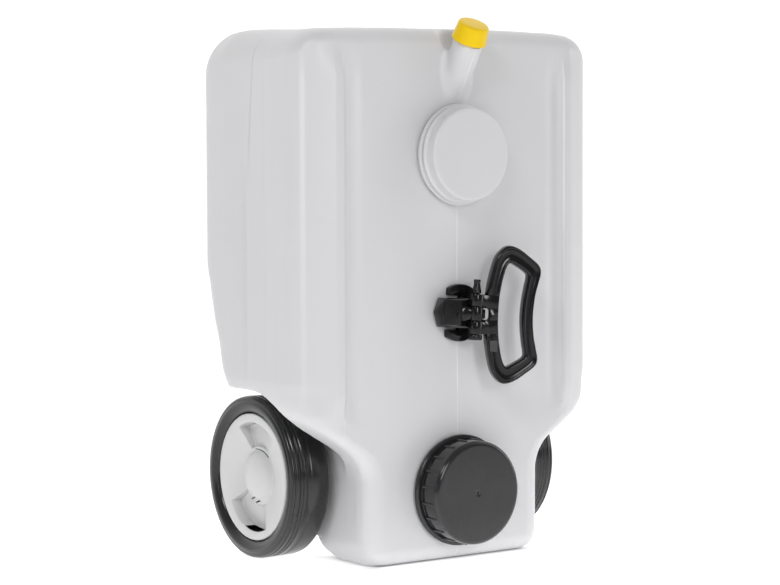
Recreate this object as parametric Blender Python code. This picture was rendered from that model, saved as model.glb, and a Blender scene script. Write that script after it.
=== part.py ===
"""Portable waste water tank on two wheels, as an assembly of separate pieces.

Metres. +Z up, +X to the right seen from the front, the front (caps and handle)
faces -Y. The origin is on the floor under the middle of the whole object.
"""
import math

import bmesh
import bpy
from mathutils import Matrix, Vector

# ---------------------------------------------------------------- dimensions
# Wheels and axle. Depths below are given from the axle, so AXLE_Y places all.
AXLE_Y = 0.0436
AXLE_Z = 0.0750
WHEEL_R = 0.0750
TYRE_OUT_X = 0.1480
TYRE_BULGE = 0.0035
TYRE_WIDTH = 0.0375
COVER_R = 0.0586
AXLE_R = 0.0040
WHEEL_STEPS = 32

# Tank shell
HALF_W = 0.1680
PANEL_Y = AXLE_Y - 0.1190
TOP_Z = 0.4875
WALL = 0.0032
TOP_R_SIDE = 0.0340
TOP_R_FRONT = 0.0160
TOP_R_REAR = 0.0220
CROWN = 0.0035
WELL_X = 0.0995
WELL_Z = 0.1580
WELL_R = 0.0600
WELL_FRONT_Y = AXLE_Y - 0.0860

# Drain neck and cap
DRAIN_Z = 0.0646
DRAIN_NECK_R = 0.0430
DRAIN_BORE_R = 0.0380
DRAIN_RIBS = 20

# Blank boss
BOSS_Z = 0.3710
BOSS_R = 0.0422
BOSS_OUT = 0.0225
BOSS_RING_R = 0.0466

# Vent neck and cap, on an axis that leans forward
VENT_TILT = math.radians(29.4)
VENT_BASE = Vector((0.0, AXLE_Y - 0.1372, 0.4728))
VENT_NECK_R = 0.0117
VENT_BORE_R = 0.0090

# Handle: a swivelling base with a hinge pin, and a loop on the pin
HANDLE_Z = 0.2269
HANDLE_TILT = math.radians(3.2)
LOOP_OPEN = math.radians(18.0)
PIN_X = 0.0062
PIN_OUT = 0.0200
LOOP_THICK = 0.0110
BARREL_R = 0.0067
DISC_R = 0.0262
DISC_OUT = 0.0085
TONGUE_OUT = 0.0165

GAP = 0.0003


# ---------------------------------------------------------------- materials
def material(name, colour, rough, metal=0.0):
    made = bpy.data.materials.new(name)
    made.use_nodes = True
    shader = made.node_tree.nodes["Principled BSDF"]
    shader.inputs["Base Color"].default_value = (*colour, 1.0)
    shader.inputs["Roughness"].default_value = rough
    shader.inputs["Metallic"].default_value = metal
    made.diffuse_color = (*colour, 1.0)
    return made


# ---------------------------------------------------------------- mesh helpers
def finish_mesh(name, bm, mat, sharp=35.0, helper_only=False):
    bmesh.ops.remove_doubles(bm, verts=bm.verts, dist=1e-7)
    bmesh.ops.recalc_face_normals(bm, faces=bm.faces)
    mesh = bpy.data.meshes.new(name)
    bm.to_mesh(mesh)
    bm.free()
    obj = bpy.data.objects.new(name, mesh)
    bpy.context.scene.collection.objects.link(obj)
    if mat is not None:
        mesh.materials.append(mat)
    mesh.shade_smooth()
    mesh.set_sharp_from_angle(angle=math.radians(sharp))
    if helper_only:
        obj.hide_render = True
        obj.display_type = "WIRE"
    return obj


def turned(profile, steps):
    """A turned solid about +Z from a closed (radius, height) outline."""
    bm = bmesh.new()
    count = len(profile)
    verts = [bm.verts.new((r, 0.0, h)) for r, h in profile]
    edges = [bm.edges.new((verts[i], verts[(i + 1) % count])) for i in range(count)
             if profile[i][0] > 1e-9 or profile[(i + 1) % count][0] > 1e-9]
    bmesh.ops.spin(bm, geom=verts + edges, cent=(0, 0, 0), axis=(0, 0, 1),
                   angle=2 * math.pi, steps=steps, use_merge=True)
    bmesh.ops.remove_doubles(bm, verts=bm.verts, dist=1e-7)
    loose = [v for v in bm.verts if not v.link_faces]
    bmesh.ops.delete(bm, geom=loose, context="VERTS")
    return bm


def cylinder(radius, low, high, steps):
    return turned([(0.0, low), (radius, low), (radius, high), (0.0, high)], steps)


def prism(outline, low, high):
    """An extruded solid: outline in X, Y and height along Z."""
    bm = bmesh.new()
    face = bm.faces.new([bm.verts.new((x, y, low)) for x, y in outline])
    grown = bmesh.ops.extrude_face_region(bm, geom=[face])
    moved = [g for g in grown["geom"] if isinstance(g, bmesh.types.BMVert)]
    bmesh.ops.translate(bm, verts=moved, vec=(0, 0, high - low))
    return bm


def block(lo, hi):
    bm = bmesh.new()
    bmesh.ops.create_cube(bm, size=1.0)
    size = [h - l for l, h in zip(lo, hi)]
    mid = [(h + l) / 2 for l, h in zip(lo, hi)]
    bmesh.ops.scale(bm, verts=bm.verts, vec=size)
    bmesh.ops.translate(bm, verts=bm.verts, vec=mid)
    return bm


def hull(points):
    """The convex solid round some points."""
    bm = bmesh.new()
    verts = [bm.verts.new(p) for p in points]
    made = bmesh.ops.convex_hull(bm, input=verts)
    spare = {g for g in made["geom_interior"] + made["geom_unused"] if isinstance(g, bmesh.types.BMVert)}
    bmesh.ops.delete(bm, geom=list(spare), context="VERTS")
    return bm


def turn_bm(bm, matrix):
    bmesh.ops.transform(bm, matrix=matrix, verts=bm.verts)
    return bm


def along(direction, at=(0, 0, 0)):
    """The matrix that turns +Z to a direction, then moves to a point."""
    spin = Vector((0, 0, 1)).rotation_difference(Vector(direction)).to_matrix().to_4x4()
    return Matrix.Translation(Vector(at)) @ spin


def shade(mesh):
    mesh.shade_smooth()
    mesh.set_sharp_from_angle(angle=math.radians(35.0))


def combine(obj, steps):
    """Runs Booleans on obj and keeps the result as its mesh."""
    helpers = []
    for index, (operation, other) in enumerate(steps):
        modifier = obj.modifiers.new(f"{operation.lower()}_{index}", "BOOLEAN")
        modifier.operation = operation
        modifier.solver = "EXACT"
        modifier.object = other
        helpers.append(other)
    graph = bpy.context.evaluated_depsgraph_get()
    graph.update()
    result = bpy.data.meshes.new_from_object(obj.evaluated_get(graph))
    old = obj.data
    mats = [m for m in old.materials]
    obj.modifiers.clear()
    obj.data = result
    result.materials.clear()
    for m in mats:
        result.materials.append(m)
    for polygon in result.polygons:
        polygon.material_index = 0
    name = old.name
    bpy.data.meshes.remove(old)
    result.name = name
    for used in set(helpers):
        mesh = used.data
        bpy.data.objects.remove(used)
        bpy.data.meshes.remove(mesh)
    shade(result)
    return obj


def tidy(obj, dist=2e-6):
    bm = bmesh.new()
    bm.from_mesh(obj.data)
    bmesh.ops.remove_doubles(bm, verts=bm.verts, dist=dist)
    bmesh.ops.dissolve_degenerate(bm, edges=bm.edges, dist=dist)
    bmesh.ops.recalc_face_normals(bm, faces=bm.faces)
    bm.to_mesh(obj.data)
    bm.free()
    shade(obj.data)
    return obj


def helper(name, bm):
    return finish_mesh(name, bm, None, helper_only=True)


def set_origin(obj, point):
    """Moves the object's origin to a point and leaves its shape where it is."""
    point = Vector(point)
    obj.data.transform(Matrix.Translation(-point))
    obj.location = point


# ---------------------------------------------------------------- tank section
def table(rows, z):
    if z <= rows[0][0]:
        return rows[0][1]
    for (za, a), (zb, b) in zip(rows, rows[1:]):
        if z <= zb:
            t = (z - za) / (zb - za)
            return a + (b - a) * t
    return rows[-1][1]


def ease(a, b, z):
    t = min(1.0, max(0.0, (z - a) / (b - a)))
    return t * t * (3 - 2 * t)


# half width, rear face and front edge against height
WIDTH = [(0.0, 0.0790), (0.0012, 0.0850), (0.0040, 0.0895), (0.0090, 0.0940), (0.0150, 0.0972),
         (0.0225, 0.0990), (0.0780, 0.0994), (0.0887, 0.1020), (0.1014, 0.1100), (0.1085, 0.1190),
         (0.1196, 0.1360), (0.1298, 0.1500), (0.1425, 0.1610), (0.1557, 0.1655), (0.1700, HALF_W)]
REAR = [(0.0, -0.0620), (0.0012, -0.0570), (0.0040, -0.0510), (0.0090, -0.0430), (0.0150, -0.0360),
        (0.0205, -0.0290), (0.0225, 0.0020), (0.0300, 0.0130), (0.0450, 0.0190), (0.0650, 0.0200),
        (0.1580, 0.0200), (0.1650, 0.0245), (0.1720, 0.0300), (0.1825, 0.0360), (0.2000, 0.0425),
        (0.2152, 0.0480), (0.2350, 0.0535), (0.2484, 0.0565), (0.2700, 0.0620), (0.3000, 0.0625)]
FRONT = [(0.0, 0.0130), (0.0012, 0.0080), (0.0040, 0.0042), (0.0090, 0.0012), (0.0150, 0.0)]


def rounding(z, radius):
    """How far a rounded top edge of this radius has come in at height z."""
    d = z - (TOP_Z - radius)
    if d <= 0:
        return 0.0
    return radius - math.sqrt(max(0.0, radius * radius - d * d))


def level(z):
    """Half width, front, rear, relief and corner blend of the shell at height z."""
    w = table(WIDTH, z) - rounding(z, TOP_R_SIDE)
    front = -0.1190 + table(FRONT, z) + rounding(z, TOP_R_FRONT)
    rear = table(REAR, z) - rounding(z, TOP_R_REAR)
    relief = ease(0.128, 0.160, z) * (1.0 - ease(0.452, 0.466, z))
    pillar = ease(0.115, 0.165, z)
    return w, front, rear, relief, pillar


def crowned(x, y, z):
    """The top sinks a little towards its two front corners."""
    side = min(1.0, abs(x) / 0.130) ** 4
    front = 1.0 - ease(-0.090, 0.020, y - AXLE_Y)
    return z - CROWN * side * front * ease(0.440, TOP_Z, z)


GROOVE = [(0.1000, 0.0), (0.1065, 0.0014), (0.1145, 0.0050), (0.1225, 0.0010), (0.1262, -0.0036), (0.1340, -0.0030)]
PILLAR = [(0.0210, 0.0030), (0.0115, 0.0086), (0.0062, 0.0145), (0.0018, 0.0260), (0.0, 0.0450)]
ROUND = [(0.0104, 0.0008), (0.0056, 0.0034), (0.0026, 0.0066), (0.0007, 0.0110), (0.0, 0.0190)]


def outline(z):
    """The closed outline of the shell at height z, as points (x, y)."""
    w, front, rear, relief, pillar = level(z)
    squeeze = min(1.0, (w - 0.0235) / 0.1345)
    half = [(0.0, front), (0.040 * squeeze, front), (0.075 * squeeze, front)]
    half += [(x * squeeze, front + dy * relief) for x, dy in GROOVE]
    for (px, py), (qx, qy) in zip(PILLAR, ROUND):
        half.append((w - (px * pillar + qx * (1 - pillar)), front + py * pillar + qy * (1 - pillar)))
    corner = 0.012 + 0.014 * ease(0.15, 0.20, z)
    y_a = half[-1][1]
    y_b = max(rear - corner, y_a + 0.004)
    corner = rear - y_b
    half.append((w, (y_a + y_b) / 2))
    for deg in (0, 30, 60, 90):
        a = math.radians(deg)
        half.append((w - corner * (1 - math.cos(a)), rear - corner * (1 - math.sin(a))))
    half += [((w - corner) * 0.5, rear), (0.0, rear)]
    left = [(-x, y) for x, y in reversed(half[1:-1])]
    return [(x, y + AXLE_Y) for x, y in half + left]


def inner_outline(z):
    """The outline of the hollow at height z, one wall inside the shell."""
    if z < 0.030:
        w, front, rear, relief, pillar = level(max(0.0, z - WALL))
    elif z > 0.44:
        w, front, rear, relief, pillar = level(min(TOP_Z - 0.0002, z + WALL))
    else:
        w, front, rear, relief, pillar = level(z)
    w -= WALL
    front += WALL
    rear -= WALL
    half = [(0.0, front), (w * 0.36, front), (w * 0.58, front)]
    half.append((min(0.103, w * 0.70), front + 0.0052 * relief))
    half.append((min(0.124, w * 0.80), front + 0.0052 * relief))
    half.append((min(0.132, w * 0.87), front + 0.0032 * pillar))
    half.append((w - 0.0100 - 0.006 * pillar, front + 0.0010 + 0.0062 * pillar))
    half.append((w - 0.0030 - 0.003 * pillar, front + 0.0060 + 0.0080 * pillar))
    half.append((w, front + 0.0170 + 0.016 * pillar))
    corner = 0.010 + 0.013 * ease(0.15, 0.20, z)
    y_a = half[-1][1]
    y_b = max(rear - corner, y_a + 0.002)
    corner = rear - y_b
    half.append((w, (y_a + y_b) / 2))
    for deg in (0, 45, 90):
        a = math.radians(deg)
        half.append((w - corner * (1 - math.cos(a)), rear - corner * (1 - math.sin(a))))
    half += [((w - corner) * 0.5, rear), (0.0, rear)]
    left = [(-x, y) for x, y in reversed(half[1:-1])]
    return [(x, y + AXLE_Y) for x, y in half + left]


def loft(levels, section):
    """A closed solid through one outline for each height."""
    bm = bmesh.new()
    rings = [[bm.verts.new((x, y, crowned(x, y, z))) for x, y in section(z)] for z in levels]
    for low, high in zip(rings, rings[1:]):
        count = len(low)
        for i in range(count):
            j = (i + 1) % count
            bm.faces.new((low[i], low[j], high[j], high[i]))
    bm.faces.new(list(reversed(rings[0])))
    top = bm.faces.new(rings[-1])
    bmesh.ops.triangulate(bm, faces=[top])
    return bm


def well(margin):
    """The wheel well cutter on the +X side: an arch seen from the side."""
    r = WELL_R + margin
    cy, cz = WELL_FRONT_Y + WELL_R, WELL_Z - WELL_R
    side = [(0.30, -0.10), (WELL_FRONT_Y - margin, -0.10)]
    for k in range(7):
        a = math.pi - k * math.pi / 12
        side.append((cy + r * math.cos(a), cz + r * math.sin(a)))
    side.append((0.30, WELL_Z + margin))
    bm = prism(side, WELL_X - margin, 0.30)
    return turn_bm(bm, Matrix(((0, 0, 1, 0), (1, 0, 0, 0), (0, 1, 0, 0), (0, 0, 0, 1))))


def mirrored(bm):
    bmesh.ops.scale(bm, verts=bm.verts, vec=(-1, 1, 1))
    bmesh.ops.reverse_faces(bm, faces=bm.faces)
    return bm


def scoop(margin):
    """The pocket that makes room for the vent cap in the top front edge."""
    bm = bmesh.new()
    bmesh.ops.create_uvsphere(bm, u_segments=20, v_segments=12, radius=1.0)
    bmesh.ops.scale(bm, verts=bm.verts, vec=(0.0245 + margin, 0.0225 + margin, 0.0340 + margin))
    bmesh.ops.translate(bm, verts=bm.verts, vec=(0.0, PANEL_Y, 0.4920))
    return bm


VENT_AXIS = Vector((0.0, -math.sin(VENT_TILT), math.cos(VENT_TILT)))


def vent_frame(offset):
    return along(VENT_AXIS, VENT_BASE + VENT_AXIS * offset)


def on_panel(z):
    """The frame on the front panel at height z: Z points out of the panel."""
    return along((0, -1, 0), (0, PANEL_Y, z))


def build_tank(mat):
    outer_levels = [0.0, 0.0012, 0.0040, 0.0090, 0.0150, 0.0205, 0.0225, 0.0300, 0.0450, 0.0780,
                    0.0887, 0.1014, 0.1085, 0.1196, 0.1298, 0.1425, 0.1557, 0.1700, 0.2000, 0.2350,
                    0.2700, 0.3600, 0.4520, 0.4600, 0.4680, 0.4750, 0.4810, 0.4850, TOP_Z - 0.0001]
    tank = finish_mesh("tank_shell", loft(outer_levels, outline), mat)

    hollow_levels = [WALL, 0.0075, 0.0150, 0.0240, 0.0262, 0.0340, 0.0600, 0.0887, 0.1014, 0.1196, 0.1298, 0.1425,
                     0.1650, 0.2000, 0.2350, 0.2700, 0.4300, 0.4480, 0.4620, 0.4740, 0.4810, TOP_Z - WALL]
    hollow = helper("hollow", loft(hollow_levels, inner_outline))
    boss_room = helper("boss_room", turn_bm(cylinder(BOSS_R - 0.0035, -0.012, BOSS_OUT - 0.0035, 32), on_panel(BOSS_Z)))
    tunnel = helper("tunnel", turn_bm(cylinder(0.0095, -0.2, 0.2, 16), along((1, 0, 0), (0, AXLE_Y, AXLE_Z))))
    combine(hollow, [("DIFFERENCE", helper("w1", well(WALL))), ("DIFFERENCE", helper("w2", mirrored(well(WALL)))),
                     ("DIFFERENCE", helper("s1", scoop(0.0030))), ("DIFFERENCE", tunnel), ("UNION", boss_room)])
    hollow.hide_render = True
    hollow.display_type = "WIRE"

    boss = helper("boss", turn_bm(turned(
        [(0.0, -0.002), (BOSS_RING_R, -0.002), (BOSS_RING_R, 0.0006), (BOSS_R + 0.0014, 0.0030), (BOSS_R, 0.0062),
         (BOSS_R, 0.0092), (BOSS_R + 0.0012, 0.0106), (BOSS_R, 0.0120), (BOSS_R, BOSS_OUT - 0.0018),
         (BOSS_R - 0.0018, BOSS_OUT), (0.0, BOSS_OUT)], 36), on_panel(BOSS_Z)))
    drain = helper("drain", turn_bm(turned(
        [(0.0, -0.002), (DRAIN_NECK_R, -0.002), (DRAIN_NECK_R, 0.0120), (DRAIN_NECK_R + 0.0012, 0.0132),
         (DRAIN_NECK_R, 0.0144), (DRAIN_NECK_R, 0.0250), (DRAIN_NECK_R - 0.0008, 0.0258), (0.0, 0.0258)], 36),
        on_panel(DRAIN_Z)))
    drain_bore = helper("drain_bore", turn_bm(cylinder(DRAIN_BORE_R, -0.03, 0.06, 36), on_panel(DRAIN_Z)))
    vent = helper("vent", turn_bm(turned(
        [(0.0, -0.0640), (0.0080, -0.0640), (0.0108, -0.0500), (0.0126, -0.0330), (0.0136, -0.0150), (0.0138, -0.0004),
         (VENT_NECK_R, 0.0004), (VENT_NECK_R, 0.0056), (VENT_NECK_R + 0.0006, 0.0064), (VENT_NECK_R, 0.0072),
         (VENT_NECK_R, 0.0124), (0.0, 0.0124)], 24), vent_frame(0.0)))
    vent_bore = helper("vent_bore", turn_bm(cylinder(VENT_BORE_R, -0.052, 0.03, 20), vent_frame(0.0)))
    stud = helper("stud", turn_bm(turned(
        [(0.0, -0.002), (0.0060, -0.002), (0.0060, 0.0090), (0.0080, 0.0100), (0.0080, 0.0112), (0.0060, 0.0130),
         (0.0, 0.0130)], 16), on_panel(HANDLE_Z)))
    axle_boss = helper("axle_boss", turn_bm(turned(
        [(0.0, -0.1070), (0.0135, -0.1070), (0.0150, -0.0960), (0.0150, 0.0960), (0.0135, 0.1070), (0.0, 0.1070)], 20),
        along((1, 0, 0), (0, AXLE_Y, AXLE_Z))))
    axle_hole = helper("axle_hole", turn_bm(cylinder(AXLE_R + GAP, -0.2, 0.2, 16), along((1, 0, 0), (0, AXLE_Y, AXLE_Z))))
    combine(tank, [
        ("DIFFERENCE", helper("w3", well(0.0))), ("DIFFERENCE", helper("w4", mirrored(well(0.0)))),
        ("DIFFERENCE", helper("s2", scoop(0.0))),
        ("UNION", boss), ("UNION", drain), ("UNION", vent), ("UNION", axle_boss),
        ("DIFFERENCE", hollow), ("DIFFERENCE", drain_bore), ("DIFFERENCE", vent_bore),
        ("DIFFERENCE", axle_hole), ("UNION", stud)])
    return tidy(tank)


# ---------------------------------------------------------------- caps
def build_drain_cap(mat, seal_mat):
    inner = 0.0447
    cap = finish_mesh("drain_cap", turn_bm(turned(
        [(inner, 0.0025), (0.0508, 0.0025), (0.0508, 0.0068), (0.0496, 0.0075), (0.0473, 0.0076), (0.0473, 0.0270),
         (0.0465, 0.0300), (0.0444, 0.0318), (0.0, 0.0318), (0.0, 0.0288), (inner, 0.0288)], 40),
        on_panel(DRAIN_Z)), mat)
    ribs = []
    for k in range(DRAIN_RIBS):
        a = 2 * math.pi * (k + 0.5) / DRAIN_RIBS
        rib = turn_bm(block((0.0462, -0.0010, 0.0070), (0.0487, 0.0010, 0.0165)),
                      on_panel(DRAIN_Z) @ Matrix.Rotation(a, 4, "Z"))
        ribs.append(("UNION", helper(f"rib_{k}", rib)))
    combine(cap, ribs)
    tidy(cap)
    set_origin(cap, (0, PANEL_Y - 0.0025, DRAIN_Z))
    seal = finish_mesh("drain_cap_seal", turn_bm(turned(
        [(0.0370, 0.0262), (0.0443, 0.0262), (0.0443, 0.0284), (0.0370, 0.0284)], 36),
        on_panel(DRAIN_Z)), seal_mat)
    set_origin(seal, (0, PANEL_Y - 0.0262, DRAIN_Z))
    return cap, seal


def build_vent_cap(mat, seal_mat):
    cap = finish_mesh("vent_cap", turn_bm(turned(
        [(0.0127, 0.0004), (0.0158, 0.0004), (0.0161, 0.0012), (0.0142, 0.0158), (0.0134, 0.0170), (0.0120, 0.0175),
         (0.0, 0.0175), (0.0, 0.0148), (0.0127, 0.0148)], 36), vent_frame(0.0)), mat)
    set_origin(cap, VENT_BASE)
    seal = finish_mesh("vent_cap_seal", turn_bm(cylinder(0.0122, 0.0127, 0.0144, 24), vent_frame(0.0)), seal_mat)
    set_origin(seal, VENT_BASE + VENT_AXIS * 0.0127)
    return cap, seal


# ---------------------------------------------------------------- handle
def curve_through(points, per):
    """A closed smooth line through points, per steps between each two."""
    made = []
    n = len(points)
    for i in range(n):
        p0, p1, p2, p3 = (Vector(points[(i + k - 1) % n]) for k in range(4))
        for s in range(per):
            t = s / per
            made.append(tuple(0.5 * ((2 * p1) + (p2 - p0) * t + (2 * p0 - 5 * p1 + 4 * p2 - p3) * t * t
                                     + (3 * p1 - p0 - 3 * p2 + p3) * t ** 3)))
    return made


def mirror_z(points):
    """Adds the lower half of an outline that is the same above and below."""
    return points + [(s, -z) for s, z in reversed(points) if abs(z) > 1e-9]


# (distance from the pin, height along the pin)
LOOP_OUTER = [(0.0543, 0.0), (0.0556, 0.0175), (0.0584, 0.0300), (0.0604, 0.0395), (0.0580, 0.0464), (0.0482, 0.0541),
              (0.0383, 0.0606), (0.0290, 0.0630), (0.0223, 0.0596), (0.0165, 0.0520), (0.0127, 0.0396), (0.0098, 0.0240),
              (0.0088, 0.0120)]
LOOP_INNER = [(0.0437, 0.0), (0.0444, 0.0130), (0.0463, 0.0263), (0.0478, 0.0345), (0.0466, 0.0384), (0.0396, 0.0430),
              (0.0320, 0.0468), (0.0286, 0.0462), (0.0257, 0.0400), (0.0227, 0.0270), (0.0208, 0.0110)]


def loop_axes():
    """Frames of the base, the pin and the loop; then the loop's own flat frame."""
    tilt = Matrix.Rotation(HANDLE_TILT, 4, "Y")
    base = Matrix.Translation((0, PANEL_Y, HANDLE_Z)) @ tilt
    pin = base @ Matrix.Translation((PIN_X, -PIN_OUT, 0.0))
    swing = pin @ Matrix.Rotation(-LOOP_OPEN, 4, "Z")
    # the flat outlines are drawn in X and Y, and Y there is up the pin
    flat = Matrix(((1, 0, 0, 0), (0, 0, -1, 0), (0, 1, 0, 0), (0, 0, 0, 1)))
    return base, pin, swing, swing @ flat


def build_handle(mat, pin_mat):
    base_frame, pin_frame, swing, flat = loop_axes()
    half = LOOP_THICK / 2
    stand = Matrix.Rotation(-math.pi / 2, 4, "X")

    # loop
    loop = finish_mesh("handle_loop", prism(curve_through(mirror_z(LOOP_OUTER), 2), -half, half), mat)
    bevel = loop.modifiers.new("edge", "BEVEL")
    bevel.width = 0.0022
    bevel.segments = 2
    bevel.limit_method = "ANGLE"
    bevel.angle_limit = math.radians(50)
    hole = helper("hole", prism(curve_through(mirror_z(LOOP_INNER), 2), -0.02, 0.02))
    window = helper("window", prism([(-0.02, -0.0068), (0.0130, -0.0068), (0.0150, -0.0052), (0.0150, 0.0052),
                                     (0.0130, 0.0068), (-0.02, 0.0068)], -0.02, 0.02))
    knuckles = []
    for name, low, high in (("upper", 0.0070, 0.0178), ("lower", -0.0186, -0.0070)):
        knuckles.append(("UNION", helper(f"barrel_{name}", turn_bm(cylinder(BARREL_R, low, high, 24), stand))))
        arm = block((0.0, low + 0.0002, -0.0042), (0.0130, high - 0.0002, 0.0042))
        knuckles.append(("UNION", helper(f"arm_{name}", arm)))
    bore = helper("bore", turn_bm(cylinder(0.0031, -0.05, 0.05, 16), stand))
    combine(loop, [("DIFFERENCE", hole), ("DIFFERENCE", window)] + knuckles + [("DIFFERENCE", bore)])
    tidy(loop)
    loop.data.transform(swing.inverted() @ flat)
    loop.matrix_world = swing

    # base: slotted disc, tongue with a faceted nose, and the middle knuckle
    at_pin = Matrix.Translation((PIN_X, -PIN_OUT, 0))
    disc = finish_mesh("handle_base", turn_bm(turned(
        [(0.0, 0.0015), (DISC_R, 0.0015), (DISC_R, 0.0045), (DISC_R - 0.0022, DISC_OUT), (0.0, DISC_OUT)], 40),
        along((0, -1, 0))), mat)
    trim = helper("trim", block((0.0125, -0.05, -0.05), (0.05, 0.05, 0.05)))
    clear = helper("clear", block((-0.05, -0.05, -0.0157), (-0.0010, 0.05, 0.0157)))
    nose = []
    for side in (1, -1):
        nose += [(-0.0236, -0.0018, side * 0.0132), (0.0040, -0.0018, side * 0.0132),
                 (-0.0276, -(TONGUE_OUT - 0.0022), side * 0.0126), (0.0040, -(TONGUE_OUT - 0.0022), side * 0.0126),
                 (-0.0270, -TONGUE_OUT, side * 0.0106), (0.0040, -TONGUE_OUT, side * 0.0106)]
    nose.append((-0.0280, -0.0018, 0.0))
    tongue = helper("tongue", hull(nose))
    neck = helper("neck", block((-0.0030, -0.0232, -0.0059), (PIN_X + 0.0004, -0.0060, 0.0059)))
    barrel = helper("barrel", turn_bm(cylinder(BARREL_R - 0.0003, -0.0062, 0.0062, 24), at_pin))
    lug = helper("lug", block((PIN_X + 0.0010, -PIN_OUT - 0.0040, -0.0057), (PIN_X + 0.0102, -PIN_OUT + 0.0036, 0.0057)))
    room_up = helper("room_up", turn_bm(cylinder(0.0077, 0.0066, 0.0190, 24), at_pin))
    room_low = helper("room_low", turn_bm(cylinder(0.0077, -0.0240, -0.0066, 24), at_pin))
    pin_bore = helper("pin_bore", turn_bm(cylinder(0.0031, -0.05, 0.05, 16), at_pin))
    socket = helper("socket", turn_bm(turned(
        [(0.0, -0.002), (0.0064, -0.002), (0.0064, 0.0086), (0.0085, 0.0094), (0.0085, 0.0140), (0.0, 0.0140)], 16),
        along((0, -1, 0))))
    combine(disc, [("DIFFERENCE", trim), ("DIFFERENCE", clear), ("UNION", tongue),
                   ("DIFFERENCE", room_up), ("DIFFERENCE", room_low), ("UNION", neck), ("UNION", barrel),
                   ("UNION", lug), ("DIFFERENCE", pin_bore), ("DIFFERENCE", socket)])
    tidy(disc)
    disc.matrix_world = base_frame

    # pin with a head below and a tapered barb above
    pin = finish_mesh("hinge_pin", turned(
        [(0.0, -0.0236), (0.0062, -0.0236), (0.0066, -0.0228), (0.0066, -0.0190), (0.0028, -0.0190), (0.0028, 0.0182),
         (0.0043, 0.0182), (0.0043, 0.0240), (0.0034, 0.0300), (0.0028, 0.0312), (0.0, 0.0312)], 20), pin_mat)
    pin.matrix_world = pin_frame
    return disc, loop, pin


# ---------------------------------------------------------------- wheels
def ring(name, mat, profile, steps, side, sharp=35.0):
    """A turned piece on the wheel axis, at +X or -X. Its origin is on the axle."""
    bm = turned(profile, steps)
    turn_bm(bm, along((1, 0, 0)))
    if side < 0:
        bm = mirrored(bm)
    obj = finish_mesh(name, bm, mat, sharp)
    obj.location = (0, AXLE_Y, AXLE_Z)
    return obj


def tyre_profile():
    out, lip = TYRE_OUT_X, COVER_R + 0.0004
    low = out - TYRE_WIDTH
    outer = [(lip, low + 0.004), (lip + 0.0040, low), (0.0700, low), (0.0742, low + 0.0040)]
    for k in range(3):
        x = low + 0.0110 + 0.0065 * k
        outer += [(WHEEL_R, x - 0.0016), (WHEEL_R - 0.0012, x), (WHEEL_R, x + 0.0016)]
    outer += [(0.0748, out - 0.0035), (0.0728, out + TYRE_BULGE * 0.55), (0.0685, out + TYRE_BULGE), (0.0640, out + TYRE_BULGE * 0.7),
              (lip, out - 0.0020)]
    return outer


def build_wheel(side, mats):
    tag = "right" if side > 0 else "left"
    made = [ring(f"tyre_{tag}", mats["tyre"], tyre_profile(), WHEEL_STEPS, side)]
    made.append(ring(f"rim_{tag}", mats["rim"], [
        (0.0065, 0.1094), (0.0120, 0.1094), (0.0120, 0.1260), (0.0515, 0.1260), (0.0515, 0.1125), (COVER_R, 0.1125),
        (COVER_R, 0.1450), (0.0555, 0.1450), (0.0540, 0.1290), (0.0120, 0.1290), (0.0120, 0.1388), (0.0065, 0.1388)],
        WHEEL_STEPS, side))
    # the cover dishes in towards the hub and rises again in a dome over the axle end
    made.append(ring(f"hub_cover_{tag}", mats["cover"], [
        (0.0, 0.1472), (0.0080, 0.1469), (0.0140, 0.1460), (0.0185, 0.1446), (0.0217, 0.1424), (0.0236, 0.1398),
        (0.0252, 0.1391), (0.0400, 0.1436), (0.0540, 0.1478), (COVER_R - 0.0012, 0.1478), (COVER_R, 0.1468),
        (COVER_R, 0.1453), (0.0538, 0.1455), (0.0400, 0.1414), (0.0256, 0.1371), (0.0230, 0.1374), (0.0203, 0.1410),
        (0.0173, 0.1430), (0.0134, 0.1442), (0.0078, 0.1450), (0.0, 0.1452)], WHEEL_STEPS, side))
    made.append(ring(f"wheel_bush_{tag}", mats["bush"], [
        (AXLE_R + GAP, 0.1095), (0.0062, 0.1095), (0.0062, 0.1387), (AXLE_R + GAP, 0.1387)], 16, side))
    made.append(ring(f"inner_washer_{tag}", mats["steel"], [
        (AXLE_R + GAP, 0.1073), (0.0095, 0.1073), (0.0095, 0.1090), (AXLE_R + GAP, 0.1090)], 16, side))
    made.append(ring(f"outer_washer_{tag}", mats["steel"], [
        (AXLE_R + GAP, 0.1392), (0.0095, 0.1392), (0.0095, 0.1407), (AXLE_R + GAP, 0.1407)], 16, side))
    made.append(ring(f"push_nut_{tag}", mats["steel"], [
        (AXLE_R + GAP, 0.1411), (0.0080, 0.1411), (0.0080, 0.1425), (0.0062, 0.1440), (AXLE_R + GAP, 0.1440)], 16, side))
    return made


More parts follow.
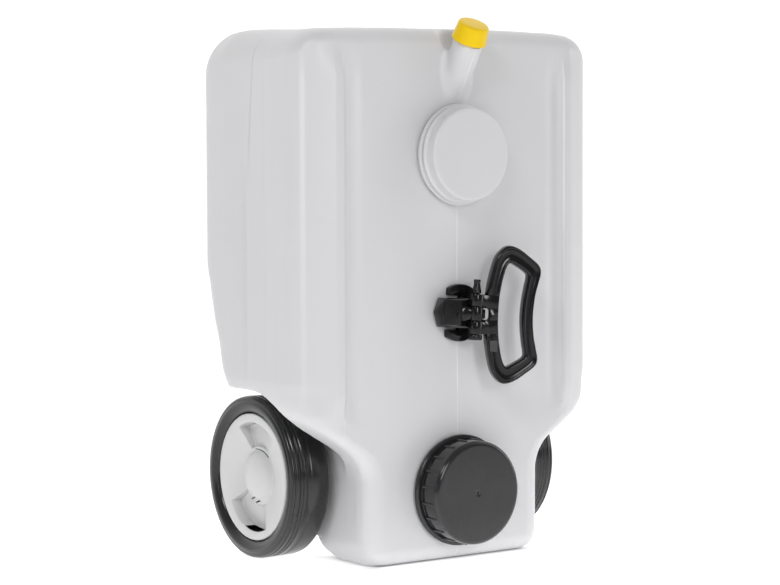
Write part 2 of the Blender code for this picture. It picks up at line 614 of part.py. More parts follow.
def main():
    for obj in list(bpy.data.objects):
        bpy.data.objects.remove(obj)
    scene = bpy.context.scene
    scene.unit_settings.system = "METRIC"
    scene.unit_settings.scale_length = 1.0

    mats = {
        "shell": material("shell_grey_plastic", (0.60, 0.61, 0.62), 0.38),
        "black": material("black_plastic", (0.030, 0.031, 0.034), 0.32),
        "yellow": material("yellow_plastic", (0.88, 0.55, 0.02), 0.35),
        "seal": material("seal_rubber", (0.05, 0.05, 0.05), 0.70),
        "tyre": material("tyre_black", (0.028, 0.028, 0.029), 0.45),
        "rim": material("rim_black_plastic", (0.04, 0.04, 0.042), 0.50),
        "cover": material("cover_grey_plastic", (0.58, 0.59, 0.60), 0.35),
        "bush": material("bush_white_plastic", (0.75, 0.75, 0.72), 0.45),
        "steel": material("zinc_steel", (0.60, 0.61, 0.62), 0.30, 1.0),
    }
    build_tank(mats["shell"])
    build_drain_cap(mats["black"], mats["seal"])
    build_vent_cap(mats["yellow"], mats["seal"])
    build_handle(mats["black"], mats["black"])
    axle = finish_mesh("axle", turn_bm(turned(
        [(0.0, -0.1446), (0.0034, -0.1446), (AXLE_R, -0.1438), (AXLE_R, 0.1438), (0.0034, 0.1446), (0.0, 0.1446)], 16),
        along((1, 0, 0))), mats["steel"])
    axle.location = (0, AXLE_Y, AXLE_Z)
    for side in (1, -1):
        build_wheel(side, mats)


main()
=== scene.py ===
import math

import bmesh
import bpy
import numpy as np
from mathutils import Matrix, Vector


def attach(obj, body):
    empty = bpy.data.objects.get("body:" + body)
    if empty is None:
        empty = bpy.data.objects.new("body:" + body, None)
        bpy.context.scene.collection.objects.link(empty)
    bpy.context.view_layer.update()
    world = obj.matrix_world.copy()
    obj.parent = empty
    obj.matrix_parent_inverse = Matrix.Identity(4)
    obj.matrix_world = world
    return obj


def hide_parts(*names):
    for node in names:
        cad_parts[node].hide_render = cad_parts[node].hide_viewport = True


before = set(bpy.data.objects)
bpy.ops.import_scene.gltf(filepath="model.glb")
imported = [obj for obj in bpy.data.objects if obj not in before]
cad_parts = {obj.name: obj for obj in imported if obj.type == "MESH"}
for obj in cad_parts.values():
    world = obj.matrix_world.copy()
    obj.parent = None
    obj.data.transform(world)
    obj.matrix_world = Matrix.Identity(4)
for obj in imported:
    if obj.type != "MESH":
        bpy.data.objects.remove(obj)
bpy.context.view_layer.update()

# ------------------------------------------------------------ main dimensions (metres, row frame)
AXLE_Y, AXLE_Z = 0.0436, 0.0750
PANEL = -0.1190                       # front panel, from the axle
PANEL_Y = AXLE_Y + PANEL
TOP_Z = 0.4875
BOSS_Z, DRAIN_Z, HANDLE_Z = 0.3710, 0.0646, 0.2269
VENT_TILT = math.radians(29.4)
VENT_AXIS = Vector((0.0, -math.sin(VENT_TILT), math.cos(VENT_TILT)))
VENT_BASE = Vector((0.0, AXLE_Y - 0.1372, 0.4728))
HANDLE_TILT, LOOP_OPEN = math.radians(3.2), math.radians(18.0)
PIN_X, PIN_OUT = 0.0062, 0.0200
COVER_R = 0.0586


# ------------------------------------------------------------ materials
class Nodes:
    """A short way to build a material's nodes."""

    def __init__(self, name):
        self.mat = bpy.data.materials.new(name)
        self.mat.use_nodes = True
        self.tree = self.mat.node_tree
        self.shader = self.tree.nodes["Principled BSDF"]

    def add(self, kind, **props):
        node = self.tree.nodes.new(kind)
        for key, value in props.items():
            setattr(node, key, value)
        return node

    def link(self, a, b):
        self.tree.links.new(a, b)

    def coords(self):
        if not hasattr(self, "_coords"):
            self._coords = self.add("ShaderNodeTexCoord").outputs["Object"]
        return self._coords

    def noise(self, scale, detail=2.0, rough=0.5, stretch=(1, 1, 1), distortion=0.0):
        mapping = self.add("ShaderNodeMapping")
        mapping.inputs["Scale"].default_value = stretch
        self.link(self.coords(), mapping.inputs["Vector"])
        node = self.add("ShaderNodeTexNoise")
        node.inputs["Scale"].default_value = scale
        node.inputs["Detail"].default_value = detail
        node.inputs["Roughness"].default_value = rough
        node.inputs["Distortion"].default_value = distortion
        self.link(mapping.outputs["Vector"], node.inputs["Vector"])
        return node.outputs["Fac"]

    def ramp(self, value, stops):
        node = self.add("ShaderNodeValToRGB")
        elements = node.color_ramp.elements
        while len(elements) < len(stops):
            elements.new(0.5)
        for element, (at, colour) in zip(elements, stops):
            element.position = at
            element.color = (*colour, 1.0) if len(colour) == 3 else colour
        self.link(value, node.inputs["Fac"])
        return node.outputs["Color"]

    def remap(self, value, a, b, lo, hi):
        node = self.add("ShaderNodeMapRange")
        for key, number in zip(("From Min", "From Max", "To Min", "To Max"), (a, b, lo, hi)):
            node.inputs[key].default_value = number
        self.link(value, node.inputs["Value"])
        return node.outputs["Result"]

    def mix(self, factor, a, b):
        node = self.add("ShaderNodeMix", data_type="RGBA")
        for socket, value in ((node.inputs[0], factor), (node.inputs[6], a), (node.inputs[7], b)):
            if isinstance(value, (float, int)):
                socket.default_value = value
            elif isinstance(value, tuple):
                socket.default_value = (*value, 1.0)
            else:
                self.link(value, socket)
        return node.outputs[2]

    def maths(self, operation, *values):
        node = self.add("ShaderNodeMath", operation=operation)
        for socket, value in zip(node.inputs, values):
            if isinstance(value, (float, int)):
                socket.default_value = value
            else:
                self.link(value, socket)
        return node.outputs[0]

    def bump(self, *layers):
        """layers are (height, strength, distance)"""
        normal = None
        for height, strength, distance in layers:
            node = self.add("ShaderNodeBump")
            node.inputs["Strength"].default_value = strength
            node.inputs["Distance"].default_value = distance
            self.link(height, node.inputs["Height"])
            if normal is not None:
                self.link(normal, node.inputs["Normal"])
            normal = node.outputs["Normal"]
        self.link(normal, self.shader.inputs["Normal"])

    def set(self, **values):
        for key, value in values.items():
            self.shader.inputs[key.replace("_", " ")].default_value = value


def shell_material(name="shell_plastic", tint=(0.624, 0.622, 0.636), mould_line_and_highlights=False):
    """Blow-moulded polyethylene: even, slightly milky, satin, with a fine skin and faint flow streaks."""
    m = Nodes(name)
    broad = m.noise(9.0, 3.0, 0.5, (1, 1, 0.35))
    streak = m.noise(60.0, 2.0, 0.6, (1, 1, 0.06))
    low = tuple(c * 0.975 for c in tint)
    high = tuple(min(1.0, c * 1.02) for c in tint)
    colour = m.mix(m.remap(broad, 0.35, 0.65, 0.0, 1.0), low, high)
    colour = m.mix(m.remap(streak, 0.45, 0.70, 0.0, 0.25), colour, tuple(c * 0.985 for c in tint))
    if mould_line_and_highlights:
        # the flash line where the two halves of the mould met, painted paler; the paleness is partly the thin flash
        # and partly a painted highlight along its bead
        split = m.add("ShaderNodeSeparateXYZ")
        m.link(m.coords(), split.inputs[0])
        near = m.remap(m.maths("ABSOLUTE", split.outputs["X"]), 0.00030, 0.00075, 1.0, 0.0)
        colour = m.mix(m.maths("MULTIPLY", near, m.remap(m.noise(25.0, 2.0, 0.5), 0.35, 0.65, 0.12, 0.42)), colour, (0.93, 0.93, 0.93))
        # painted highlights: paler strips along the two front edges of each pillar, standing in for the glint on the
        # rounded outer corner and on the inner crease
        wide = m.maths("ABSOLUTE", split.outputs["X"])
        front = m.maths("MULTIPLY", m.remap(split.outputs["Y"], -0.045, -0.030, 1.0, 0.0), m.remap(split.outputs["Z"], 0.436, 0.462, 1.0, 0.0))
        front = m.maths("MULTIPLY", front, m.remap(split.outputs["Z"], 0.150, 0.360, 0.15, 1.0))
        # painted highlight along the rounded outer corner of each pillar
        corner_highlight = m.maths("MULTIPLY", m.remap(m.maths("ABSOLUTE", m.maths("SUBTRACT", wide, 0.1594)), 0.0006, 0.0024, 1.0, 0.0), 0.33)
        # painted highlight along the crease of each pillar
        thin = m.maths("MULTIPLY", m.remap(m.maths("ABSOLUTE", m.maths("SUBTRACT", wide, 0.1246)), 0.0003, 0.0010, 1.0, 0.0), 0.50)
        colour = m.mix(m.maths("MULTIPLY", front, m.maths("MAXIMUM", corner_highlight, thin)), colour, (0.86, 0.86, 0.86))
    m.link(colour, m.shader.inputs["Base Color"])
    m.link(m.remap(m.noise(35.0, 3.0, 0.6), 0.3, 0.7, 0.35, 0.41), m.shader.inputs["Roughness"])
    m.set(IOR=1.50)
    m.bump((m.noise(16.0, 2.0, 0.5), 0.10, 0.0016), (m.noise(900.0, 2.0, 0.6), 0.10, 0.00012))
    return m.mat


def black_material(name, base=(0.0040, 0.0042, 0.0048), rough=(0.12, 0.17), grain=0.035, shine=0.38):
    m = Nodes(name)
    spot = m.noise(55.0, 3.0, 0.55)
    m.link(m.mix(m.remap(spot, 0.3, 0.7, 0.0, 1.0), tuple(c * 0.88 for c in base), tuple(c * 1.14 for c in base)), m.shader.inputs["Base Color"])
    m.link(m.remap(m.noise(80.0, 4.0, 0.6), 0.3, 0.7, *rough), m.shader.inputs["Roughness"])
    m.set(IOR=1.50, Specular_IOR_Level=shine)
    m.bump((m.noise(1300.0, 2.0, 0.6), grain, 0.00010), (m.noise(120.0, 2.0, 0.5), 0.08, 0.0004))
    return m.mat


def tyre_material():
    m = Nodes("tyre_plastic")
    m.link(m.mix(m.noise(40.0, 3.0, 0.55), (0.0125, 0.0125, 0.0125), (0.0185, 0.0185, 0.0185)), m.shader.inputs["Base Color"])
    m.link(m.remap(m.noise(90.0, 4.0, 0.6), 0.3, 0.7, 0.15, 0.22), m.shader.inputs["Roughness"])
    m.set(Specular_IOR_Level=0.46)
    m.bump((m.noise(700.0, 2.0, 0.5), 0.05, 0.00012))
    return m.mat


def yellow_material():
    m = Nodes("yellow_plastic")
    m.link(m.mix(m.noise(70.0, 3.0, 0.5), (0.80, 0.53, 0.0015), (0.86, 0.58, 0.0030)), m.shader.inputs["Base Color"])
    m.link(m.remap(m.noise(110.0, 3.0, 0.5), 0.3, 0.7, 0.30, 0.40), m.shader.inputs["Roughness"])
    m.set(Specular_IOR_Level=0.22)
    m.bump((m.noise(1100.0, 2.0, 0.6), 0.10, 0.00010))
    return m.mat


def metal_material():
    m = Nodes("zinc_steel")
    m.link(m.mix(m.noise(260.0, 4.0, 0.6), (0.50, 0.51, 0.52), (0.66, 0.67, 0.68)), m.shader.inputs["Base Color"])
    m.link(m.remap(m.noise(400.0, 3.0, 0.6), 0.3, 0.7, 0.24, 0.40), m.shader.inputs["Roughness"])
    m.set(Metallic=1.0)
    m.bump((m.noise(500.0, 2.0, 0.6), 0.10, 0.0001))
    return m.mat


SHELL = shell_material()
# the tank's plastic carries the paler mould line and the painted highlights on its pillars
TANK = shell_material("tank_plastic", mould_line_and_highlights=True)
COVER = shell_material("cover_plastic", (0.600, 0.605, 0.600))
BLACK = black_material("black_plastic")
PIN = black_material("pin_plastic", (0.0085, 0.0085, 0.009), (0.20, 0.28))
RIM = black_material("rim_plastic", (0.030, 0.030, 0.031), (0.42, 0.52))
TYRE = tyre_material()
YELLOW = yellow_material()
STEEL = metal_material()
CAP = black_material("cap_plastic", (0.0170, 0.0172, 0.0184), (0.09, 0.13), 0.030, 0.50)
# the pad's satin black is given a lighter base colour: painted light for the light its raised face catches
PAD = black_material("pad_plastic", (0.040, 0.040, 0.042), (0.42, 0.50), 0.10, 0.50)
RUBBER = black_material("seal_rubber", (0.022, 0.022, 0.022), (0.60, 0.72), 0.2)
BUSH = shell_material("bush_plastic", (0.72, 0.72, 0.69))


# ------------------------------------------------------------ small mesh helpers
def new_object(name, mesh, mat):
    obj = bpy.data.objects.new(name, mesh)
    bpy.context.scene.collection.objects.link(obj)
    if mat is not None:
        mesh.materials.append(mat)
    return obj


def from_bmesh(name, bm, mat, sharp=35.0):
    bmesh.ops.recalc_face_normals(bm, faces=bm.faces)
    mesh = bpy.data.meshes.new(name)
    bm.to_mesh(mesh)
    bm.free()
    mesh.shade_smooth()
    if sharp:
        mesh.set_sharp_from_angle(angle=math.radians(sharp))
    return new_object(name, mesh, mat)


def turned(profile, steps, matrix=None, closed=True):
    """A turned shape about +Z from a (radius, height) line, as a bmesh."""
    bm = bmesh.new()
    angles = [2 * math.pi * k / steps for k in range(steps)]
    rings = []
    for radius, height in profile:
        if radius < 1e-7:
            rings.append([bm.verts.new((0, 0, height))])
        else:
            rings.append([bm.verts.new((radius * math.cos(a), radius * math.sin(a), height)) for a in angles])
    pairs = list(zip(rings, rings[1:])) + ([(rings[-1], rings[0])] if closed else [])
    for low, high in pairs:
        for k in range(steps):
            j = (k + 1) % steps
            corner = [low[k % len(low)], low[j % len(low)], high[j % len(high)], high[k % len(high)]]
            unique = []
            for v in corner:
                if v not in unique:
                    unique.append(v)
            if len(unique) > 2:
                bm.faces.new(unique)
    if matrix is not None:
        bmesh.ops.transform(bm, matrix=matrix, verts=bm.verts)
    return bm


def along(direction, at=(0, 0, 0)):
    spin = Vector((0, 0, 1)).rotation_difference(Vector(direction)).to_matrix().to_4x4()
    return Matrix.Translation(Vector(at)) @ spin


def on_panel(z):
    return along((0, -1, 0), (0, PANEL_Y, z))


def smooth_line(points, per=6, closed=False):
    """A smooth line through points."""
    pts = [np.array(p, float) for p in points]
    n = len(pts)
    made = []
    spans = n if closed else n - 1
    for i in range(spans):
        if closed:
            p0, p1, p2, p3 = (pts[(i + k - 1) % n] for k in range(4))
        else:
            p0, p1, p2, p3 = pts[max(i - 1, 0)], pts[i], pts[i + 1], pts[min(i + 2, n - 1)]
        for s in range(per):
            t = s / per
            made.append(0.5 * ((2 * p1) + (p2 - p0) * t + (2 * p0 - 5 * p1 + 4 * p2 - p3) * t * t + (3 * p1 - p0 - 3 * p2 + p3) * t ** 3))
    if not closed:
        made.append(pts[-1])
    return made


def rounded(points, radius, segments=3, closed=True):
    """A 2-D line with each corner rounded. A point may carry its own radius as a third number."""
    made = []
    n = len(points)
    for i, p in enumerate(points):
        r = p[2] if len(p) > 2 else radius
        if not closed and i in (0, n - 1) or r <= 0:
            made.append((p[0], p[1]))
            continue
        a, b, c = Vector(points[i - 1][:2]), Vector(p[:2]), Vector(points[(i + 1) % n][:2])
        u, w = (a - b), (c - b)
        if u.length < 1e-9 or w.length < 1e-9:
            made.append(tuple(b))
            continue
        cut = min(r / max(math.tan(max(u.angle(w), 0.05) / 2), 0.2), u.length * 0.48, w.length * 0.48)
        s, e = b + u.normalized() * cut, b + w.normalized() * cut
        for k in range(segments + 1):
            t = k / segments
            q = s * (1 - t) ** 2 + b * 2 * t * (1 - t) + e * t * t
            made.append((q.x, q.y))
    return made


# ------------------------------------------------------------ the tank shell, as one smooth solid
def ease(a, b, v):
    t = np.clip((v - a) / (b - a), 0.0, 1.0)
    return t * t * (3 - 2 * t)


class Curve:
    """A smooth monotone curve through knots, read off a fine table."""

    def __init__(self, knots, step=0.00025):
        x = np.array([k[0] for k in knots], float)
        y = np.array([k[1] for k in knots], float)
        d = np.diff(y) / np.diff(x)
        m = np.zeros(len(x))
        m[0], m[-1] = d[0], d[-1]
        for i in range(1, len(x) - 1):
            if d[i - 1] * d[i] > 0:
                wa, wb = 2 * (x[i + 1] - x[i]) + (x[i] - x[i - 1]), (x[i + 1] - x[i]) + 2 * (x[i] - x[i - 1])
                m[i] = (wa + wb) / (wa / d[i - 1] + wb / d[i])
        self.x = np.arange(x[0], x[-1] + step, step)
        i = np.clip(np.searchsorted(x, self.x, side="right") - 1, 0, len(x) - 2)
        h = x[i + 1] - x[i]
        t = np.clip((self.x - x[i]) / h, 0, 1)
        self.y = ((2 * t ** 3 - 3 * t ** 2 + 1) * y[i] + (t ** 3 - 2 * t ** 2 + t) * h * m[i]
                  + (3 * t ** 2 - 2 * t ** 3) * y[i + 1] + (t ** 3 - t ** 2) * h * m[i + 1])
        self.slope = np.gradient(self.y, self.x)

    def __call__(self, v):
        return np.interp(v, self.x, self.y)

    def steep(self, v):
        return np.interp(v, self.x, self.slope)


WIDTH = Curve([(0.0, 0.0868), (0.0012, 0.0905), (0.0040, 0.0938), (0.0090, 0.0964), (0.0150, 0.0981), (0.0225, 0.0990),
               (0.0780, 0.0994), (0.0887, 0.1020), (0.1014, 0.1100), (0.1085, 0.1190), (0.1196, 0.1360), (0.1298, 0.1500),
               (0.1425, 0.1610), (0.1557, 0.1655), (0.1700, 0.1680), (0.5, 0.1680)])
REAR = Curve([(0.0, -0.0510), (0.0012, -0.0460), (0.0040, -0.0400), (0.0090, -0.0330), (0.0150, -0.0285), (0.0195, -0.0240),
              (0.0235, 0.0020), (0.0300, 0.0130), (0.0450, 0.0190), (0.0650, 0.0200), (0.1580, 0.0200), (0.1650, 0.0245),
              (0.1720, 0.0300), (0.1825, 0.0360), (0.2000, 0.0425), (0.2152, 0.0480), (0.2350, 0.0535), (0.2484, 0.0565),
              (0.2700, 0.0620), (0.3000, 0.0625), (0.5, 0.0625)])
FRONT = Curve([(0.0, 0.0130), (0.0012, 0.0080), (0.0040, 0.0042), (0.0090, 0.0012), (0.0150, 0.0), (0.5, 0.0)])
GROOVE = Curve([(0.0, 0.0), (0.0985, 0.0), (0.1030, 0.0003), (0.1065, 0.0014), (0.1105, 0.0036), (0.1145, 0.0050), (0.1185, 0.0040),
                (0.1225, 0.0004), (0.1262, -0.0036), (0.1330, -0.0032), (0.1500, 0.0), (0.4, 0.0)], 0.0001)
_pillar = np.array(smooth_line([(0.0340, 0.0), (0.0210, 0.0030), (0.0115, 0.0086), (0.0062, 0.0145), (0.0018, 0.0260), (0.0, 0.0450)], 24))
PILLAR_A, PILLAR_D = _pillar[:, 0], np.maximum.accumulate(_pillar[:, 1])


LEAN = [0.0014, 0.0029, 0.0034, 0.0030, 0.0027, 0.0015, 0.0010, 0.0002, -0.0015, -0.0019, -0.0008]


LINE_SLANT, LINE_KINK = 0.098, 0.312


def corner_depth(a):
    return np.interp(a, PILLAR_A[::-1], PILLAR_D[::-1])


def corner_inset(d):
    return np.interp(d, PILLAR_D, PILLAR_A)


def meet(a, b, r):
    """The part inside both, with a rounded edge."""
    u, v = np.maximum(a + r, 0), np.maximum(b + r, 0)
    return np.minimum(np.maximum(a, b), -r) + np.hypot(u, v)


def join(a, b, r):
    """The part inside either, with a filleted corner."""
    return -meet(-a, -b, r)


def shell(x, y, z, fine=True):
    """Less than nought inside the outer surface. y is from the axle."""
    X = np.abs(x)
    side = np.minimum(1.0, X / 0.130) ** 4
    zc = z + 0.0035 * side * (1.0 - ease(-0.090, 0.020, y)) * ease(0.440, TOP_Z, z)
    # the top sits a little lower towards the left front, as in the photograph
    lean = np.interp(x, [-0.150, -0.115, -0.090, -0.060, -0.030, 0.0, 0.060, 0.100, 0.125, 0.140, 0.155], LEAN)
    zc = zc + lean * ease(0.430, TOP_Z, z) * (1.0 - 0.55 * ease(-0.095, 0.0, y))
    w = WIDTH(zc)
    steep = WIDTH.steep(zc)
    pillar = ease(0.115, 0.165, zc)
    relief = ease(0.128, 0.160, zc) * (1.0 - ease(0.437, 0.470, zc))
    squeeze = np.minimum(1.0, (w - 0.0235) / 0.1345)
    knee = 0.134 * squeeze
    t = np.where(X < knee, X / squeeze, 0.134 + (X - knee) * 0.034 / np.maximum(w - knee, 1e-4))
    groove = GROOVE(t)
    groove = groove - (0.30 + 0.25 * ease(-0.03, 0.03, x)) * np.maximum(groove, 0.0)
    front = PANEL + FRONT(zc) + relief * groove
    if fine:
        # the raised mould band on each side, and its soft edge towards the back
        yl = y + LINE_SLANT * np.maximum(0.0, z - LINE_KINK)
        band = ease(0.0262, 0.0272, -yl) - ease(0.0560, 0.0585, -y)
        lower = 1.0 - ease(0.335, 0.385, zc)
        dip = 0.00055 * (1 - 0.5 * lower) * np.exp(-((yl + 0.0258) / 0.0011) ** 2) + 0.0011 * lower * np.exp(-((y + 0.0240) / 0.0045) ** 2)
        w = w + (0.00040 * band - dip) * ease(0.165, 0.190, zc)
    sx, sy = 0.5 + 0.5 * pillar, 0.42 + 0.58 * pillar
    a = w - X
    h = front + sy * corner_depth(np.clip(a / sx, 0, 1)) - y
    d = (y - front) / sy
    v = (X - (w - sx * corner_inset(np.clip(d, 0, 1)))) / np.sqrt(1 + steep * steep)
    v = np.where(d < 0, 0.05, v)
    s = np.sign(h) * np.abs(h) * np.abs(v) / np.maximum(np.hypot(h, v), 1e-9)
    s = np.where(a < 0, np.maximum(np.abs(v), s), s)
    rear = REAR(zc)
    back = (y - rear) / np.sqrt(1 + np.minimum(np.abs(REAR.steep(zc)), 1.5) ** 2)
    s = meet(s, back, 0.012 + 0.014 * ease(0.15, 0.20, zc))
    es, ef, eb = (np.exp(np.clip(q / 0.012, -12, 3)) for q in (X - w, front - y, y - rear))
    share = es / (es + ef + eb)
    radius = 0.034 * share + (1 - share) * (0.016 + 0.006 * ease(-0.09, 0.03, y)) + 0.012 * ease(0.010, 0.045, y)
    f = meet(s, zc - TOP_Z, radius)
    f = meet(f, -z, 0.0012)
    # wheel wells
    arch = meet(-0.0860 - y, z - 0.1580, 0.060)
    f = meet(f, -meet(arch, 0.1010 - X, 0.006), 0.0030)
    # axle boss through the foot
    axle = np.hypot(y, z - AXLE_Z)
    f = join(f, np.maximum(axle - 0.0150 + 0.0015 * ease(0.096, 0.107, X), X - 0.1070), 0.003)
    # pocket for the vent cap
    px, py, pz = x / 0.0178, (y - PANEL) / 0.0160, (z - 0.4920) / 0.0310
    k0 = np.sqrt(px * px + py * py + pz * pz)
    k1 = np.sqrt((px / 0.0178) ** 2 + (py / 0.0160) ** 2 + (pz / 0.0310) ** 2)
    f = meet(f, -(k0 * (k0 - 1) / np.maximum(k1, 1e-6)), 0.0065)
    # vent neck
    dy, dz = y + 0.1372, z - 0.4728
    s_ = dy * VENT_AXIS.y + dz * VENT_AXIS.z
    rad = np.sqrt(np.maximum(x * x + dy * dy + dz * dz - s_ * s_, 0))
    cone = np.maximum(rad - np.interp(s_, [-0.064, -0.050, -0.033, -0.015, -0.0004], [0.0085, 0.0108, 0.0126, 0.0136, 0.0138]),
                      np.maximum(s_ + 0.0006, -0.064 - s_))
    f = join(f, cone, 0.0075)
    # drain bore
    drain = np.hypot(x, z - DRAIN_Z)
    f = np.maximum(f, -np.maximum(drain - 0.0402, y + 0.088))
    if fine:
        bead = np.exp(-(x / 0.00034) ** 2) * 0.00026
        f = f - bead
    return f


def surface_net(h):
    """Points and quads of the shell's surface on a grid of pitch h."""
    xs = np.arange(0, 0.1760 + h, h)
    ys = np.arange(-0.1620, 0.0720 + h, h)
    zs = np.arange(-2.5 * h, 0.4960 + h, h)
    xs = xs - h / 2
    half = np.empty((len(xs), len(ys), len(zs)), np.float32)
    for i, xv in enumerate(xs):
        half[i] = shell(np.full((len(ys), len(zs)), abs(xv)), ys[:, None] + np.zeros(len(zs)), zs[None, :] + np.zeros((len(ys), 1)), fine=False)
    vals = np.concatenate([half[:0:-1], half[1:]], 0)
    xs = np.concatenate([-xs[:0:-1], xs[1:]])
    inside = vals < 0
    cells = np.zeros(tuple(n - 1 for n in vals.shape), np.int8)
    for di in (0, 1):
        for dj in (0, 1):
            for dk in (0, 1):
                cells += inside[di:inside.shape[0] - 1 + di, dj:inside.shape[1] - 1 + dj, dk:inside.shape[2] - 1 + dk]
    mixed = (cells > 0) & (cells < 8)
    index = np.full(cells.shape, -1, np.int64)
    ci, cj, ck = np.nonzero(mixed)
    index[ci, cj, ck] = np.arange(len(ci))
    total, count = np.zeros((len(ci), 3)), np.zeros(len(ci))
    corners = [(a, b, c) for a in (0, 1) for b in (0, 1) for c in (0, 1)]
    for a in corners:
        for b in corners:
            if sum(abs(p - q) for p, q in zip(a, b)) != 1 or a > b:
                continue
            fa = vals[ci + a[0], cj + a[1], ck + a[2]].astype(float)
            fb = vals[ci + b[0], cj + b[1], ck + b[2]].astype(float)
            cross = (fa < 0) != (fb < 0)
            t = np.where(cross, fa / np.where(cross, fa - fb, 1), 0)
            pa = np.stack([xs[ci + a[0]], ys[cj + a[1]], zs[ck + a[2]]], 1)
            pb = np.stack([xs[ci + b[0]], ys[cj + b[1]], zs[ck + b[2]]], 1)
            total += np.where(cross[:, None], pa + (pb - pa) * t[:, None], 0)
            count += cross
    points = total / count[:, None]
    quads = []
    for axis in range(3):
        lo = [slice(None)] * 3
        hi = [slice(None)] * 3
        lo[axis], hi[axis] = slice(0, -1), slice(1, None)
        a, b = inside[tuple(lo)], inside[tuple(hi)]
        i, j, k = np.nonzero(a != b)
        u, v = (axis + 1) % 3, (axis + 2) % 3
        at = np.stack([i, j, k], 1)
        keep = (at[:, u] > 0) & (at[:, v] > 0) & (at[:, u] < vals.shape[u] - 1) & (at[:, v] < vals.shape[v] - 1)
        at = at[keep]
        out = a[tuple(at.T)]
        def cell(du, dv):
            q = at.copy()
            q[:, u] -= du
            q[:, v] -= dv
            return index[tuple(q.T)]
        quad = np.stack([cell(1, 1), cell(0, 1), cell(0, 0), cell(1, 0)], 1)
        quad[~out] = quad[~out][:, ::-1]
        quads.append(quad)
    return points, np.concatenate(quads)


def slope(p, eps=6e-5, fine=True):
    g = np.empty_like(p)
    for axis in range(3):
        q, r = p.copy(), p.copy()
        q[:, axis] += eps
        r[:, axis] -= eps
        g[:, axis] = (shell(*q.T, fine=fine) - shell(*r.T, fine=fine)) / (2 * eps)
    return g


def settle(p, rounds=3, fine=True, most=0.0012):
    """Moves points onto the shell's surface."""
    for _ in range(rounds):
        g = slope(p, fine=fine)
        step = shell(*p.T, fine=fine)[:, None] * g / np.maximum((g * g).sum(1, keepdims=True), 0.05)
        length = np.linalg.norm(step, axis=1, keepdims=True)
        p = p - step * np.minimum(1, most / np.maximum(length, 1e-12))
    return p


def build_shell():
    points, quads = surface_net(0.0027)
    points = settle(points, 3, fine=False)
    mesh = bpy.data.meshes.new("tank_body")
    mesh.from_pydata(points.tolist(), [], quads.tolist())
    bm = bmesh.new()
    bm.from_mesh(mesh)
    # finer faces where the neck, the pocket and the bore meet
    for lo, hi in (((-0.034, -0.158, 0.405), (0.034, -0.070, 0.4935)),):
        near = [e for e in bm.edges if all(all(l <= c <= h for l, c, h in zip(lo, v.co, hi)) for v in e.verts)]
        bmesh.ops.subdivide_edges(bm, edges=near, cuts=1, use_grid_fill=True)
    # edges along the mould lines
    for x in (-0.0007, -0.00034, 0.0, 0.00034, 0.0007):
        geom = [g for g in list(bm.faces) + list(bm.edges) + list(bm.verts)
                if (abs(g.co.x) < 0.006 if isinstance(g, bmesh.types.BMVert) else any(abs(v.co.x) < 0.006 for v in g.verts))]
        bmesh.ops.bisect_plane(bm, geom=geom, dist=4e-5, plane_co=(x, 0, 0), plane_no=(1, 0, 0))
    for sign in (-1, 1):
        for x in (0.1226, 0.1262):
            geom = [g for g in list(bm.faces) + list(bm.edges) + list(bm.verts)
                    if (abs(g.co.x - sign * x) < 0.006 and g.co.y < -0.08 and 0.15 < g.co.z < 0.47 if isinstance(g, bmesh.types.BMVert)
                        else all(abs(v.co.x - sign * x) < 0.006 and v.co.y < -0.08 and 0.15 < v.co.z < 0.47 for v in g.verts))]
            bmesh.ops.bisect_plane(bm, geom=geom, dist=1e-4, plane_co=(sign * x, 0, 0), plane_no=(1, 0, 0))
    for y in (-0.0281, -0.0272, -0.0264, -0.0258, -0.0250, -0.0240, -0.0560, -0.0585):
        for low, high, slant in ((0.155, LINE_KINK + 0.004, 0.0), (LINE_KINK - 0.004, 1.0, LINE_SLANT if y > -0.05 else 0.0)):
            def close(v):
                return abs(v.co.y + slant * (v.co.z - LINE_KINK) - y) < 0.006 and low < v.co.z < high
            geom = [g for g in list(bm.faces) + list(bm.edges) + list(bm.verts)
                    if (close(g) if isinstance(g, bmesh.types.BMVert) else all(close(v) for v in g.verts))]
            bmesh.ops.bisect_plane(bm, geom=geom, dist=4e-5, plane_co=(0, y, LINE_KINK), plane_no=Vector((0, 1, slant)).normalized())
    bmesh.ops.remove_doubles(bm, verts=bm.verts, dist=2e-5)
    bmesh.ops.triangulate(bm, faces=[f for f in bm.faces if len(f.verts) > 4])
    bmesh.ops.recalc_face_normals(bm, faces=bm.faces)
    bm.to_mesh(mesh)
    bm.free()
    co = np.empty(len(mesh.vertices) * 3)
    mesh.vertices.foreach_get("co", co)
    co = settle(co.reshape(-1, 3), 3)
    normals = slope(co)
    normals /= np.maximum(np.linalg.norm(normals, axis=1, keepdims=True), 1e-9)
    co[:, 1] += AXLE_Y
    mesh.vertices.foreach_set("co", co.ravel())
    mesh.update()
    mesh.shade_smooth()
    mesh.normals_split_custom_set_from_vertices(normals.tolist())
    return new_object("tank_body", mesh, TANK)


tank = build_shell()
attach(tank, "tank")
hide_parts("tank_shell")

def gather(name, parts, mat, sharp=35.0):
    """One object from several closed shapes."""
    whole = bmesh.new()
    for part in parts:
        bmesh.ops.recalc_face_normals(part, faces=part.faces)
        mesh = bpy.data.meshes.new("part")
        part.to_mesh(mesh)
        part.free()
        whole.from_mesh(mesh)
        bpy.data.meshes.remove(mesh)
    mesh = bpy.data.meshes.new(name)
    whole.to_mesh(mesh)
    whole.free()
    mesh.shade_smooth()
    if sharp:
        mesh.set_sharp_from_angle(angle=math.radians(sharp))
    return new_object(name, mesh, mat)


def skin(rings, closed_ends=True, loop=False):
    """A solid through rings of points, each ring with the same count."""
    bm = bmesh.new()
    made = [[bm.verts.new(tuple(p)) for p in ring] for ring in rings]
    pairs = list(zip(made, made[1:])) + ([(made[-1], made[0])] if loop else [])
    for low, high in pairs:
        n = len(low)
        for i in range(n):
            j = (i + 1) % n
            bm.faces.new((low[i], low[j], high[j], high[i]))
    if closed_ends and not loop:
        bm.faces.new(list(reversed(made[0])))
        bm.faces.new(made[-1])
    return bm


